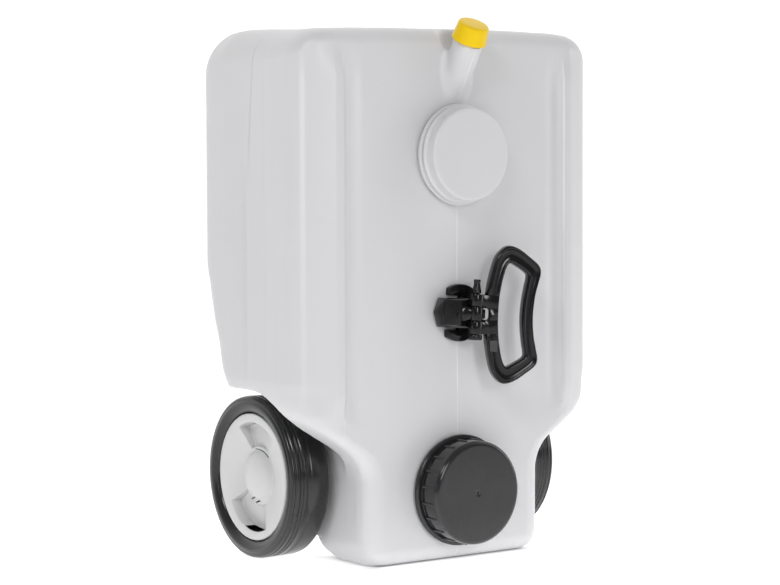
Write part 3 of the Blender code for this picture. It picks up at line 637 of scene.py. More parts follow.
def inward(points, distance):
    """A closed 2-D line moved towards its inside."""
    pts = [Vector(p[:2]) for p in points]
    n = len(pts)
    area = sum(pts[i].x * pts[(i + 1) % n].y - pts[(i + 1) % n].x * pts[i].y for i in range(n))
    sign = 1.0 if area > 0 else -1.0
    made = []
    for i in range(n):
        a, b, c = pts[i - 1], pts[i], pts[(i + 1) % n]
        u, w = (b - a).normalized(), (c - b).normalized()
        nu, nw = Vector((-u.y, u.x)) * sign, Vector((-w.y, w.x)) * sign
        m = nu + nw
        if m.length < 1e-6:
            m = nu
        m.normalize()
        made.append(tuple(b + m * (distance / max(m.dot(nu), 0.5))))
    return made


def slab(outline, low, high, edge=0.0006, steps=2, edge_low=None):
    """A flat piece with rounded rims: outline in X and Y, thickness along Z."""
    edge_low = edge if edge_low is None else edge_low
    rings = []
    for k in range(steps + 1):
        a = math.pi / 2 * k / steps
        rings.append([(x, y, low + edge_low * (1 - math.sin(a))) for x, y in inward(outline, edge_low * (1 - math.cos(math.pi / 2 - a)))] if edge_low else
                     [(x, y, low) for x, y in outline])
        if not edge_low:
            break
    for k in range(steps + 1):
        a = math.pi / 2 * k / steps
        if not edge:
            rings.append([(x, y, high) for x, y in outline])
            break
        rings.append([(x, y, high - edge * (1 - math.sin(a))) for x, y in inward(outline, edge * (1 - math.cos(a)))])
    return skin(rings)


def coil(radius, low, turns, pitch, depth, width, steps=72, taper=0.25):
    """A screw thread ridge round +Z."""
    rings = []
    count = int(steps * turns)
    for k in range(count + 1):
        a = 2 * math.pi * k / steps
        z = low + pitch * k / steps
        grow = min(1.0, k / (steps * taper), (count - k) / (steps * taper))
        r0, r1 = radius - 0.0005, radius + depth * max(grow, 0.02)
        ring = [(r0, z - width * 0.5), (r1, z - width * 0.22), (r1, z + width * 0.22), (r0, z + width * 0.5)]
        rings.append([(r * math.cos(a), r * math.sin(a), h) for r, h in ring])
    return skin(rings)


def moved(bm, matrix):
    bmesh.ops.transform(bm, matrix=matrix, verts=bm.verts)
    return bm


def box_bm(lo, hi, edge=0.0):
    bm = bmesh.new()
    bmesh.ops.create_cube(bm, size=1.0)
    bmesh.ops.scale(bm, verts=bm.verts, vec=[h - l for l, h in zip(lo, hi)])
    bmesh.ops.translate(bm, verts=bm.verts, vec=[(h + l) / 2 for l, h in zip(lo, hi)])
    if edge:
        bmesh.ops.bevel(bm, geom=list(bm.edges), offset=edge, segments=2, profile=0.5, affect="EDGES")
    return bm


def hull_bm(points, edge=0.0):
    bm = bmesh.new()
    verts = [bm.verts.new(p) for p in points]
    made = bmesh.ops.convex_hull(bm, input=verts)
    spare = {g for g in made["geom_interior"] + made["geom_unused"] if isinstance(g, bmesh.types.BMVert)}
    bmesh.ops.delete(bm, geom=list(spare), context="VERTS")
    bmesh.ops.dissolve_limit(bm, angle_limit=math.radians(2), verts=bm.verts, edges=bm.edges)
    if edge:
        bmesh.ops.bevel(bm, geom=list(bm.edges), offset=edge, segments=2, profile=0.5, affect="EDGES")
    return bm


ROUND = 160

# ------------------------------------------------------------ the blank boss and the two necks, all one with the shell
boss = from_bmesh("blank_boss", turned(
    [(0.0, -0.0030), (0.0450, -0.0030), (0.0440, -0.0006), (0.0432, 0.0004), (0.0427, 0.0016), (0.0425, 0.0038), (0.0450, 0.0039),
     (0.0458, 0.0042), (0.0461, 0.0048), (0.0461, 0.0056), (0.0458, 0.0062), (0.0450, 0.0065), (0.0430, 0.0067), (0.0426, 0.0071),
     (0.0425, 0.0080), (0.0433, 0.0083), (0.0441, 0.0086), (0.0445, 0.0092), (0.0445, 0.0101), (0.0441, 0.0107), (0.0434, 0.0111),
     (0.0425, 0.0114), (0.0422, 0.0121), (0.04215, 0.0204), (0.0420, 0.0211), (0.0415, 0.0218), (0.0408, 0.0223), (0.0399, 0.0225),
     (0.0380, 0.02255), (0.0, 0.02255)], ROUND, on_panel(BOSS_Z)), SHELL, 50)
neck = turned(
    [(0.0455, -0.0020), (0.0440, 0.0002), (0.0433, 0.0010), (0.0430, 0.0022), (0.0430, 0.0250), (0.0426, 0.0256), (0.0420, 0.0258),
     (0.0388, 0.0258), (0.0382, 0.0256), (0.0380, 0.0250), (0.0380, -0.0300), (0.0455, -0.0300)], ROUND, on_panel(DRAIN_Z))
drain_neck = gather("drain_neck", [neck, moved(coil(0.0430, 0.0090, 1.9, 0.0055, 0.0012, 0.0026), on_panel(DRAIN_Z))], SHELL, 40)
vent_top = gather("vent_neck", [
    moved(turned([(0.0139, -0.0030), (0.0138, -0.0008), (0.0133, -0.0001), (0.0124, 0.0001), (0.0118, 0.0004), (0.0117, 0.0012),
                  (0.0117, 0.0116), (0.0114, 0.0122), (0.0109, 0.0124), (0.0096, 0.0124), (0.0091, 0.0121), (0.0090, 0.0115),
                  (0.0090, -0.0300), (0.0100, -0.0300), (0.0100, -0.0030)], 96), along(VENT_AXIS, VENT_BASE)),
    moved(coil(0.0117, 0.0030, 1.8, 0.0034, 0.0008, 0.0018), along(VENT_AXIS, VENT_BASE)),
    # the ends of the tamper ring's stops, just under the cap
    moved(coil(0.0137, -0.0030, 0.10, 0.0030, 0.0009, 0.0012, taper=0.02), along(VENT_AXIS, VENT_BASE) @ Matrix.Rotation(math.radians(-170), 4, "Z")),
    moved(coil(0.0137, -0.0012, 0.14, 0.0010, 0.0010, 0.0011, taper=0.02), along(VENT_AXIS, VENT_BASE) @ Matrix.Rotation(math.radians(-118), 4, "Z"))],
    SHELL, 40)
for piece in (boss, drain_neck, vent_top):
    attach(piece, "tank")


# ------------------------------------------------------------ caps and their seals
def build_drain_cap():
    frame_ = on_panel(DRAIN_Z)
    body = turned(
        [(0.0447, 0.0025), (0.0502, 0.0025), (0.0507, 0.0028), (0.0509, 0.0034), (0.0509, 0.0058), (0.0507, 0.0064), (0.0501, 0.0068),
         (0.0478, 0.0070), (0.0460, 0.0072), (0.0457, 0.0076), (0.0457, 0.0104), (0.0460, 0.0110), (0.0469, 0.0114), (0.0472, 0.0122),
         (0.0473, 0.0150), (0.0473, 0.0268), (0.04726, 0.0277), (0.04713, 0.0286), (0.04687, 0.0293), (0.0465, 0.0300), (0.0460, 0.0305),
         (0.0454, 0.0310), (0.0447, 0.0314), (0.0439, 0.0317), (0.0431, 0.0318), (0.0410, 0.03182), (0.0200, 0.03182), (0.0040, 0.03182), (0.0022, 0.03182), (0.0020, 0.0317), (0.0014, 0.0313),
         (0.0012, 0.0313), (0.0011, 0.0317), (0.0009, 0.0322), (0.0005, 0.0324), (0.0, 0.0324),
         (0.0, 0.0288), (0.0447, 0.0288)], ROUND, frame_)
    parts = [body]
    for k in range(20):
        turn = frame_ @ Matrix.Rotation(2 * math.pi * (k + 0.5) / 20, 4, "Z")
        rings = []
        for out, share in ((0.0074, 0.0), (0.0076, 0.5), (0.0084, 0.86), (0.0100, 1.0), (0.0150, 1.0), (0.0215, 0.92), (0.0236, 0.80),
                           (0.0244, 0.55), (0.0247, 0.0)):
            half, tall = 0.00155 * max(share, 0.05), 0.00165 * share
            ring = [(0.0462, -half, out)]
            for j in range(7):
                a = math.pi * j / 6
                ring.append((0.0469 + tall * math.sin(a) ** 0.8, -half * math.cos(a), out))
            ring.append((0.0462, half, out))
            rings.append(ring)
        parts.append(moved(skin(rings), turn))
    return gather("drain_cap_body", parts, CAP, 42)


drain_cap = build_drain_cap()
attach(drain_cap, "drain_cap")
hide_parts("drain_cap")

vent_cap = from_bmesh("vent_cap_body", turned(
    [(0.0127, 0.0004), (0.0155, 0.0004), (0.0159, 0.0006), (0.0161, 0.0010), (0.0161, 0.0017), (0.0159, 0.0022), (0.0156, 0.0050),
     (0.0145, 0.0140), (0.0143, 0.0154), (0.0139, 0.0163), (0.0132, 0.0170), (0.0122, 0.0174), (0.0110, 0.01755), (0.0, 0.0176),
     (0.0, 0.0148), (0.0127, 0.0148)], 112, along(VENT_AXIS, VENT_BASE)), YELLOW, 50)
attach(vent_cap, "vent_cap")
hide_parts("vent_cap")

drain_seal = from_bmesh("drain_seal", turned(
    [(0.0370, 0.0264), (0.0372, 0.0262), (0.0441, 0.0262), (0.0443, 0.0264), (0.0443, 0.0282), (0.0441, 0.0284), (0.0425, 0.0284),
     (0.0423, 0.0281), (0.0395, 0.0281), (0.0393, 0.0284), (0.0372, 0.0284), (0.0370, 0.0282)], ROUND, on_panel(DRAIN_Z)), RUBBER, 40)
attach(drain_seal, "drain_seal")
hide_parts("drain_cap_seal")
vent_seal = from_bmesh("vent_seal", turned(
    [(0.0, 0.0129), (0.0090, 0.0129), (0.0092, 0.0127), (0.0120, 0.0127), (0.0122, 0.0129), (0.0122, 0.0142), (0.0120, 0.0144), (0.0, 0.0144)],
    64, along(VENT_AXIS, VENT_BASE)), RUBBER, 40)
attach(vent_seal, "vent_seal")
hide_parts("vent_cap_seal")

# ------------------------------------------------------------ the handle
LOOP_OUTER = [(0.0543, 0.0), (0.0556, 0.0175), (0.0584, 0.0300), (0.0604, 0.0395), (0.0580, 0.0464), (0.0482, 0.0541),
              (0.0383, 0.0606), (0.0290, 0.0630), (0.0223, 0.0596), (0.0165, 0.0520), (0.0127, 0.0396), (0.0098, 0.0240),
              (0.0088, 0.0120)]
LOOP_INNER = [(0.0437, 0.0), (0.0444, 0.0130), (0.0463, 0.0263), (0.0478, 0.0345), (0.0466, 0.0384), (0.0396, 0.0430),
              (0.0320, 0.0468), (0.0286, 0.0462), (0.0257, 0.0400), (0.0227, 0.0270), (0.0208, 0.0110)]
# across the bar from the hole to the outside: share of the width, height of the front
BAR_FRONT = [(0.000, 0.0026), (0.012, 0.0036), (0.045, 0.0045), (0.095, 0.0051), (0.150, 0.0054), (0.205, 0.0053), (0.240, 0.0050),
             (0.300, 0.0047), (0.500, 0.0046), (0.660, 0.0047), (0.715, 0.0050), (0.745, 0.0053), (0.790, 0.0053), (0.825, 0.0049),
             (0.860, 0.0050), (0.890, 0.0053), (0.925, 0.0051), (0.962, 0.0044), (0.988, 0.0034), (1.000, 0.0024)]
HANDLE_BASE_FRAME = Matrix.Translation((0, PANEL_Y, HANDLE_Z)) @ Matrix.Rotation(HANDLE_TILT, 4, "Y")
PIN_FRAME = HANDLE_BASE_FRAME @ Matrix.Translation((PIN_X, -PIN_OUT, 0.0))
SWING = PIN_FRAME @ Matrix.Rotation(-LOOP_OPEN, 4, "Z")
FLAT = Matrix(((1, 0, 0, 0), (0, 0, -1, 0), (0, 1, 0, 0), (0, 0, 0, 1)))


def spaced(points, count, last=False):
    """count points evenly along a line, without its end unless last."""
    pts = np.array(points, float)
    run = np.concatenate([[0], np.cumsum(np.linalg.norm(np.diff(pts, axis=0), axis=1))])
    at = np.linspace(0, run[-1], count + (0 if last else 1))
    if not last:
        at = at[:-1]
    return [(float(np.interp(t, run, pts[:, 0])), float(np.interp(t, run, pts[:, 1]))) for t in at]


def half_loop(points):
    full = points + [(s, -z) for s, z in reversed(points) if abs(z) > 1e-9]
    return smooth_line(full, 8, closed=True)


def build_loop():
    outer, inner = half_loop(LOOP_OUTER), half_loop(LOOP_INNER)
    pairs = []
    for (oa, ob), (ia, ib), count in (((0, 3), (0, 3), 16), ((3, 4), (3, 4), 7), ((4, 7), (4, 7), 16), ((7, 9), (7, 8), 12), ((9, 12), (8, 10), 18)):
        o = spaced(outer[oa * 8:ob * 8 + 1], count)
        i = spaced(inner[ia * 8:ib * 8 + 1], count)
        pairs += list(zip(o, i))
    notch = [((0.0084, 0.0120), 0.0110), ((0.0082, 0.0098), 0.0098), ((0.0080, 0.0076), 0.0086), ((0.0081, 0.0066), 0.0078), ((0.0084, 0.0059), 0.0070),
             ((0.0089, 0.0055), 0.0062), ((0.0096, 0.0052), 0.0055), ((0.0104, 0.0047), 0.0048), ((0.0110, 0.0039), 0.0039),
             ((0.0113, 0.0029), 0.0029), ((0.0114, 0.0018), 0.0018), ((0.0114, 0.0006), 0.0006)]
    inner_x = lambda z: 0.0208 - 0.0004 * (1 - (z / 0.0110) ** 2)
    pairs += [(o, (inner_x(z), z)) for o, z in notch]
    pairs += [((o[0], -o[1]), (i[0], -i[1])) for o, i in reversed(pairs[1:])]
    rings = []
    for (ox, oz), (ix, iz) in pairs:
        flat = (1.0 - float(ease(0.0170, 0.0230, abs(oz)))) * (1.0 if ox < 0.03 else 0.0)
        width = math.hypot(ox - ix, oz - iz)
        ring = []
        for t, h in BAR_FRONT:
            h = h + (min(h, 0.0046) - h) * flat
            ring.append((ix + (ox - ix) * t, iz + (oz - iz) * t, h))
        thin = 0.0058 * (1.0 - float(ease(0.0052, 0.0078, abs(oz)))) * (1.0 if ox < 0.03 else 0.0)
        for t, h in ((1.0, -0.0038), (0.975, -0.0048), (0.92, -0.0054), (0.5, -0.0055), (0.08, -0.0054), (0.025, -0.0048), (0.0, -0.0038)):
            h = h + thin * min(1.0, t * 1.4)
            ring.append((ix + (ox - ix) * t, iz + (oz - iz) * t, h))
        rings.append(ring)
    parts = [moved(skin(rings, loop=True), SWING @ FLAT)]
    for low, high in ((0.0070, 0.0178), (-0.0186, -0.0070)):
        mid = (low + high) / 2
        parts.append(turned([(0.0031, low), (0.0060, low), (0.0065, low + 0.0003), (0.0067, low + 0.0009), (0.0067, high - 0.0009),
                             (0.0065, high - 0.0003), (0.0060, high), (0.0031, high)], 56, SWING))
        sign = 1 if mid > 0 else -1
        near, far = (low, high) if mid > 0 else (high, low)
        arm = [(0.0034, near), (0.0076, near), (0.0080, sign * 0.0054), (0.0198, sign * 0.0050), (0.0200, far - sign * 0.0010), (0.0034, far)]
        if sign < 0:
            arm = arm[::-1]
        parts.append(moved(slab(rounded(arm, 0.0009, 3), -0.0043, 0.0051, 0.0005), SWING @ FLAT))
    # flat web behind the window
    web = rounded([(0.0118, -0.0060), (0.0199, -0.0060), (0.0199, 0.0060), (0.0118, 0.0060)], 0.0006, 3)
    parts.append(moved(slab(web, 0.0022, 0.0050, 0.0005), SWING @ FLAT))
    return gather("loop_body", parts, BLACK, 38)


loop = build_loop()
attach(loop, "handle_loop")
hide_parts("handle_loop")
# the small raised pad on the lower bar, moulded with the loop but left satin; its base colour is lighter than the
# loop's as painted light, for the light its raised face catches
pad_line = rounded([(0.0131, -0.0336), (0.0205, -0.0339), (0.0201, -0.0236), (0.0126, -0.0238)], 0.0008, 3)
pad = gather("loop_pad", [moved(slab(pad_line, 0.0030, 0.0058, 0.0004), SWING @ FLAT)], PAD, 38)
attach(pad, "handle_loop")


def build_base():
    place = HANDLE_BASE_FRAME @ FLAT
    parts = []
    def half_moons(radius, blunt, slit, end, corner):
        """The disc's outline, open to the left between two slits."""
        stop = math.acos(blunt / radius)
        upper = [(radius * math.cos(stop * k / 36), radius * math.sin(stop * k / 36)) for k in range(1, 37)]
        line = [(p[0], p[1], corner if k == 35 else 0.0) for k, p in enumerate(upper)]
        line += [(blunt - 0.0004, slit, corner), (end, slit, 0.0008), (end + 0.0010, slit - 0.0012, 0.0004)]
        line += [(x, -y, r) for x, y, r in reversed(line)]
        return rounded(line, 0.0, 4)

    parts.append(moved(slab(half_moons(0.0262, -0.0140, 0.0156, -0.0020, 0.0016), 0.0006, 0.0062, 0.0011, 3, 0.0003), place))
    # a second, smaller step on the disc's face
    parts.append(moved(slab(half_moons(0.0236, -0.0114, 0.0174, -0.0010, 0.0012), 0.0040, 0.0069, 0.0006, 2, 0.0), place))
    # the tongue, cut like a gem at its nose
    tongue = []
    for side in (1, -1):
        tongue += [(0.0040, -0.0018, side * 0.0137), (-0.0238, -0.0018, side * 0.0134), (0.0040, -0.0136, side * 0.0137), (-0.0232, -0.0128, side * 0.0134),
                   (0.0040, -0.0165, side * 0.0112), (-0.0264, -0.0162, 0.0006 + side * 0.0114)]
    tongue += [(-0.0285, -0.0018, 0.0), (-0.0292, -0.0100, 0.0)]
    parts.append(moved(hull_bm(tongue, 0.00055), HANDLE_BASE_FRAME))
    # a saddle that climbs from the tongue to the middle knuckle
    rings = []
    for x, out, half in ((-0.0072, 0.0163, 0.0098), (-0.0060, 0.0168, 0.0092), (-0.0045, 0.0176, 0.0080), (-0.0028, 0.0190, 0.0068), (-0.0008, 0.0212, 0.0061),
                         (0.0015, 0.0238, 0.0059), (0.0040, 0.0256, 0.0059), (0.0062, 0.0263, 0.0059)):
        ring_ = []
        for j in range(9):
            a = math.pi * j / 8
            ring_.append((x, -(0.0120 + (out - 0.0120) * min(1.0, math.sin(a) ** 0.35 if 0 < j < 8 else 0.0)), -half * math.cos(a)))
        ring_ += [(x, -0.0060, half), (x, -0.0060, -half)]
        rings.append(ring_)
    parts.append(moved(skin(rings), HANDLE_BASE_FRAME))
    parts.append(moved(turned([(0.0031, -0.0062), (0.0058, -0.0062), (0.0063, -0.0059), (0.0065, -0.0053), (0.0065, 0.0053), (0.0063, 0.0059),
                               (0.0058, 0.0062), (0.0031, 0.0062)], 56), PIN_FRAME))
    parts.append(moved(box_bm((PIN_X + 0.0010, -PIN_OUT - 0.0046, -0.0043), (PIN_X + 0.0076, -PIN_OUT + 0.0040, 0.0043), 0.0009), HANDLE_BASE_FRAME))
    # two shallow moulding marks on the tongue
    parts.append(moved(box_bm((-0.0150, -0.0169, 0.0004), (-0.0137, -0.0160, 0.0016), 0.0002), HANDLE_BASE_FRAME))
    parts.append(moved(box_bm((-0.0122, -0.0169, -0.0046), (-0.0112, -0.0160, 0.0006), 0.0002), HANDLE_BASE_FRAME))
    # the snap socket behind the disc
    parts.append(turned([(0.0064, 0.0002), (0.0098, 0.0002), (0.0098, 0.0030), (0.0064, 0.0030)], 48, on_panel(HANDLE_Z)))
    return gather("handle_swivel_body", parts, BLACK, 38)


base = build_base()
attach(base, "handle_swivel")
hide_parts("handle_base")


def build_pin():
    parts = [turned([(0.0, -0.0238), (0.0056, -0.0238), (0.0062, -0.0235), (0.0065, -0.0229), (0.0066, -0.0220), (0.0066, -0.0196), (0.0063, -0.0191),
                     (0.0056, -0.0190), (0.0028, -0.0190), (0.0028, 0.0184), (0.0, 0.0184)], 48, PIN_FRAME)]
    for side in (1, -1):
        prong = turned([(0.0, 0.0150), (0.0028, 0.0150), (0.0028, 0.0182), (0.0039, 0.0184), (0.0043, 0.0190), (0.0042, 0.0206), (0.0037, 0.0226),
                        (0.0033, 0.0244), (0.0030, 0.0262), (0.0029, 0.0284), (0.0031, 0.0290), (0.0032, 0.0300), (0.0030, 0.0308), (0.0026, 0.0312),
                        (0.0, 0.0312)], 40)
        made = bmesh.ops.bisect_plane(prong, geom=list(prong.verts) + list(prong.edges) + list(prong.faces), dist=1e-6,
                                      plane_co=(side * 0.00055, 0, 0), plane_no=(-side, 0, 0), clear_outer=True)
        rim = [g for g in made["geom_cut"] if isinstance(g, bmesh.types.BMEdge)]
        bmesh.ops.holes_fill(prong, edges=rim, sides=0)
        parts.append(moved(prong, PIN_FRAME @ Matrix.Rotation(math.radians(20), 4, "Z")))
    return gather("pin_body", parts, PIN, 38)


pin = build_pin()
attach(pin, "handle_swivel")
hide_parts("hinge_pin")

# ------------------------------------------------------------ wheels
TYRE_LINE = [(0.0589, 0.1140), (0.0600, 0.1118), (0.0640, 0.1106), (0.0700, 0.1103), (0.0728, 0.1109), (0.0741, 0.1128), (0.0746, 0.1150),
             (0.0747, 0.1285), (0.0746, 0.1292), (0.0743, 0.1298), (0.0742, 0.1304), (0.0742, 0.1338), (0.0743, 0.1345), (0.0747, 0.1350),
             (0.07495, 0.1356), (0.07495, 0.1366), (0.0747, 0.1372), (0.0742, 0.1376), (0.0740, 0.1380), (0.0742, 0.1384), (0.0747, 0.1388),
             (0.07495, 0.1394), (0.07495, 0.1402), (0.0747, 0.1408), (0.0741, 0.1411), (0.0739, 0.1414), (0.0741, 0.1418), (0.0746, 0.1422),
             (0.07495, 0.1430), (0.0750, 0.1441), (0.07495, 0.1452), (0.0746, 0.1460), (0.0741, 0.1464), (0.0739, 0.1468), (0.0740, 0.1472),
             (0.0744, 0.1476), (0.0744, 0.1484), (0.0740, 0.1493), (0.0733, 0.1500), (0.0722, 0.1505), (0.0711, 0.1507), (0.0704, 0.1507),
             (0.0700, 0.1509), (0.0694, 0.1513), (0.0680, 0.1515), (0.0660, 0.1512), (0.0640, 0.1505), (0.0620, 0.1494), (0.0606, 0.1482),
             (0.0597, 0.1468), (0.0591, 0.1452), (0.0589, 0.1440)]


def wheel_matrix(side):
    """From (h, z, out) as seen square on from outside, to the row frame."""
    return Matrix(((0, 0, side, 0), (side, 0, 0, AXLE_Y), (0, 1, 0, AXLE_Z), (0, 0, 0, 1)))


def wheel_turned(profile, steps, side):
    """A turned piece on a wheel; profile points are (radius, distance out from the middle)."""
    return turned(profile, steps, wheel_matrix(side))


DISH = Curve([(0.0, 0.0006), (0.0040, 0.0007), (0.0080, 0.0010), (0.0130, 0.0018), (0.0175, 0.0032), (0.0210, 0.0052), (0.0232, 0.0074), (0.0246, 0.0087),
              (0.0260, 0.0086), (0.0300, 0.0074), (0.0400, 0.0042), (0.0500, 0.0011), (0.0535, 0.0003), (0.0550, 0.0), (0.0600, 0.0)], 0.0001)
FLOOR = 0.0124
# (start angle, end angle, inner radius, outer radius, angle where the floor starts to rise, angle where it is level)
WINDOWS = ((34.0, 118.5, 0.0272, 0.0506, 96.0, 44.0, 0.0), (213.0, 299.0, 0.0262, 0.0485, 268.0, 300.0, 0.0032))


def sector(a0, a1, r0, r1, grow=0.0, corner=0.0016):
    """A window's outline; its outer edge's radius grows by grow from one end to the other."""
    pts = [((r1 + grow * k / 60) * math.cos(math.radians(a0 + (a1 - a0) * k / 60)), (r1 + grow * k / 60) * math.sin(math.radians(a0 + (a1 - a0) * k / 60)))
           for k in range(61)]
    pts += [(r0 * math.cos(math.radians(a1 + (a0 - a1) * k / 40)), r0 * math.sin(math.radians(a1 + (a0 - a1) * k / 40))) for k in range(41)]
    marked = [(x, y, corner if i in (0, 60, 61, 101) else 0.0) for i, (x, y) in enumerate(pts)]
    return rounded(marked, 0.0, 5)


def away(points, line):
    """Signed distance from points to a closed line: less than nought inside."""
    line = np.array(line)
    nxt = np.roll(line, -1, axis=0)
    best = np.full(len(points), 1e9)
    inside = np.zeros(len(points), bool)
    for a, b in zip(line, nxt):
        d = b - a
        t = np.clip(((points - a) @ d) / max(d @ d, 1e-18), 0, 1)
        best = np.minimum(best, np.linalg.norm(points - a - t[:, None] * d, axis=1))
        crosses = (a[1] > points[:, 1]) != (b[1] > points[:, 1])
        with np.errstate(divide="ignore", invalid="ignore"):
            at = (b[0] - a[0]) * (points[:, 1] - a[1]) / (b[1] - a[1]) + a[0]
        inside ^= crosses & (points[:, 0] < at)
    return np.where(inside, -best, best)


WINDOW_LINES = [sector(*w[:4], w[6]) for w in WINDOWS]


def cover_depth(points):
    """How far the cover's face lies below its flat rim, at points (h, z)."""
    r = np.hypot(points[:, 0], points[:, 1])
    angle = np.degrees(np.arctan2(points[:, 1], points[:, 0])) % 360
    depth = DISH(r)
    base = depth.copy()
    for (a0, a1, r0, r1, rise, level, grow), line in zip(WINDOWS, WINDOW_LINES):
        d = away(points, line)
        wall = np.interp(-d, [-0.00035, -0.00005, 0.00012, 0.00030, 0.00048, 0.00068, 0.00105, 0.0014, 0.0018, 0.0022, 0.0027],
                         [0, 0.010, 0.06, 0.30, 0.72, 0.95, 1.0, 0.95, 0.89, 0.93, 1.0])
        t = np.clip((angle - rise) / (level - rise), 0, 1)
        share = 1 - t * t * (3 - 2 * t)
        depth = depth + np.maximum(FLOOR - base, 0) * wall * share
    return depth


def build_cover(side, spin):
    from mathutils import geometry
    holes = []
    # a gap in the outer wall of the lower window, a slit beside the dome, and two small slits
    polar = lambda r, q: (r * math.cos(math.radians(q)), r * math.sin(math.radians(q)))
    edge = lambda q: 0.0484 + 0.0032 * (q - 213.0) / 86.0
    arc = [polar(edge(q), q) for q in range(252, 282, 2)]
    arc += [polar(edge(q) - 0.00012 - 0.00062 * math.sin(math.pi * (q - 250) / 30) ** 0.6, q) for q in range(278, 252, -2)]
    holes.append(arc)
    trough = lambda q: 0.0240 + 0.0016 * (max(0.0, q - 79.0) / 29.0) ** 2
    holes.append([polar(trough(q) + 0.00075, q) for q in range(107, 47, -3)] + [polar(trough(q), q) for q in range(50, 108, 3)])
    for (h0, z0), (h1, z1) in (((-0.0210, -0.0239), (-0.0020, -0.0193)), ((-0.0132, -0.0266), (0.0026, -0.0226))):
        a, b = Vector((h0, z0)), Vector((h1, z1))
        n = Vector((-(b - a).y, (b - a).x)).normalized() * 0.00062
        holes.append([tuple(a - n), tuple(b - n), tuple(b + n), tuple(a + n)])
    points, edges = [], []

    def add_line(line):
        first = len(points)
        points.extend(tuple(p[:2]) for p in line)
        edges.extend((first + i, first + (i + 1) % len(line)) for i in range(len(line)))

    circle = lambda r, n: [(r * math.cos(2 * math.pi * k / n), r * math.sin(2 * math.pi * k / n)) for k in range(n)]
    add_line(circle(0.0574, 144))
    for r, n in ((0.0560, 120), (0.0535, 120), (0.0246, 84), (0.0232, 84)):
        for p in circle(r, n):
            points.append(p)
    for line in WINDOW_LINES:
        even = spaced(line + [line[0]], 170)
        for step in (-0.00040, -0.00005, 0.00012, 0.00030, 0.00048, 0.00068, 0.00110, 0.0014, 0.0018, 0.0022, 0.0027):
            points.extend(inward(even, step))
    for hole in holes:
        add_line(hole)
    pitch = 0.0015
    grid = []
    r = pitch
    while r < 0.0566:
        n = max(6, int(2 * math.pi * r / pitch))
        grid += [(r * math.cos(2 * math.pi * (k + 0.5) / n), r * math.sin(2 * math.pi * (k + 0.5) / n)) for k in range(n)]
        r += pitch
    grid.append((0.0, 0.0))
    grid = np.array(grid)
    clear = np.ones(len(grid), bool)
    for line in WINDOW_LINES:
        d = away(grid, line)
        clear &= (d > 0.0009) | (d < -0.0031)
    for hole in holes:
        clear &= away(grid, hole) > 0.0005
    points.extend(map(tuple, grid[clear]))
    verts, _, faces, _, _, _ = geometry.delaunay_2d_cdt([Vector(p) for p in points], edges, [], 0, 1e-6)
    flat = np.array([(v.x, v.y) for v in verts])
    depth = cover_depth(flat)
    middles = np.array([flat[list(f)].mean(0) for f in faces])
    keep = np.ones(len(faces), bool)
    for hole in holes:
        keep &= away(middles, hole) > 0
    bm = bmesh.new()
    turn = Matrix.Rotation(math.radians(spin), 2)
    face = [bm.verts.new((*(turn @ Vector(p)), 0.1478 - d)) for p, d in zip(flat, depth)]
    for f, ok in zip(faces, keep):
        if ok:
            bm.faces.new([face[i] for i in f])
    # loose points are cleared, and a thin turned ring forms the rim
    bmesh.ops.delete(bm, geom=[v for v in bm.verts if not v.link_faces], context="VERTS")
    rim = turned([(0.0574, 0.1478), (0.0579, 0.1477), (0.0583, 0.1475), (0.0585, 0.1471), (0.0586, 0.1466), (0.0586, 0.1453), (0.0572, 0.1453), (0.0572, 0.1474)],
                 144)
    moved(bm, wheel_matrix(side))
    moved(rim, wheel_matrix(side))
    mesh = bpy.data.meshes.new("cover")
    bmesh.ops.recalc_face_normals(bm, faces=bm.faces)
    bm.normal_update()
    if sum(f.normal.x * f.calc_area() for f in bm.faces) * side < 0:
        bmesh.ops.reverse_faces(bm, faces=bm.faces)
    bmesh.ops.recalc_face_normals(rim, faces=rim.faces)
    bm.to_mesh(mesh)
    bm.free()
    whole = rim
    whole.from_mesh(mesh)
    bpy.data.meshes.remove(mesh)
    made = bpy.data.meshes.new("cover_face")
    whole.to_mesh(made)
    whole.free()
    made.shade_smooth()
    made.set_sharp_from_angle(angle=math.radians(62))
    return new_object("cover_face_" + ("right" if side > 0 else "left"), made, COVER)


def build_rim(side):
    parts = [wheel_turned([(0.0065, 0.1094), (0.0114, 0.1094), (0.0120, 0.1100), (0.0122, 0.1245), (0.0128, 0.1256), (0.0142, 0.1260), (0.0500, 0.1260),
                           (0.0511, 0.1255), (0.0515, 0.1245), (0.0515, 0.1130), (0.0519, 0.1125), (0.0580, 0.1125), (0.0586, 0.1130),
                           (0.0586, 0.1450), (0.0557, 0.1450), (0.0543, 0.1300), (0.0536, 0.1292), (0.0526, 0.1290), (0.0135, 0.1290),
                           (0.0124, 0.1294), (0.0120, 0.1304), (0.0120, 0.1388), (0.0065, 0.1388)], 96, side)]
    for k in range(6):
        rib = box_bm((0.0115, -0.0010, 0.1150), (0.0520, 0.0010, 0.1264), 0.0004)
        parts.append(moved(moved(rib, Matrix.Rotation(math.pi * k / 3, 4, "Z")), wheel_matrix(side)))
    return gather("rim_body_" + ("right" if side > 0 else "left"), parts, RIM, 38)


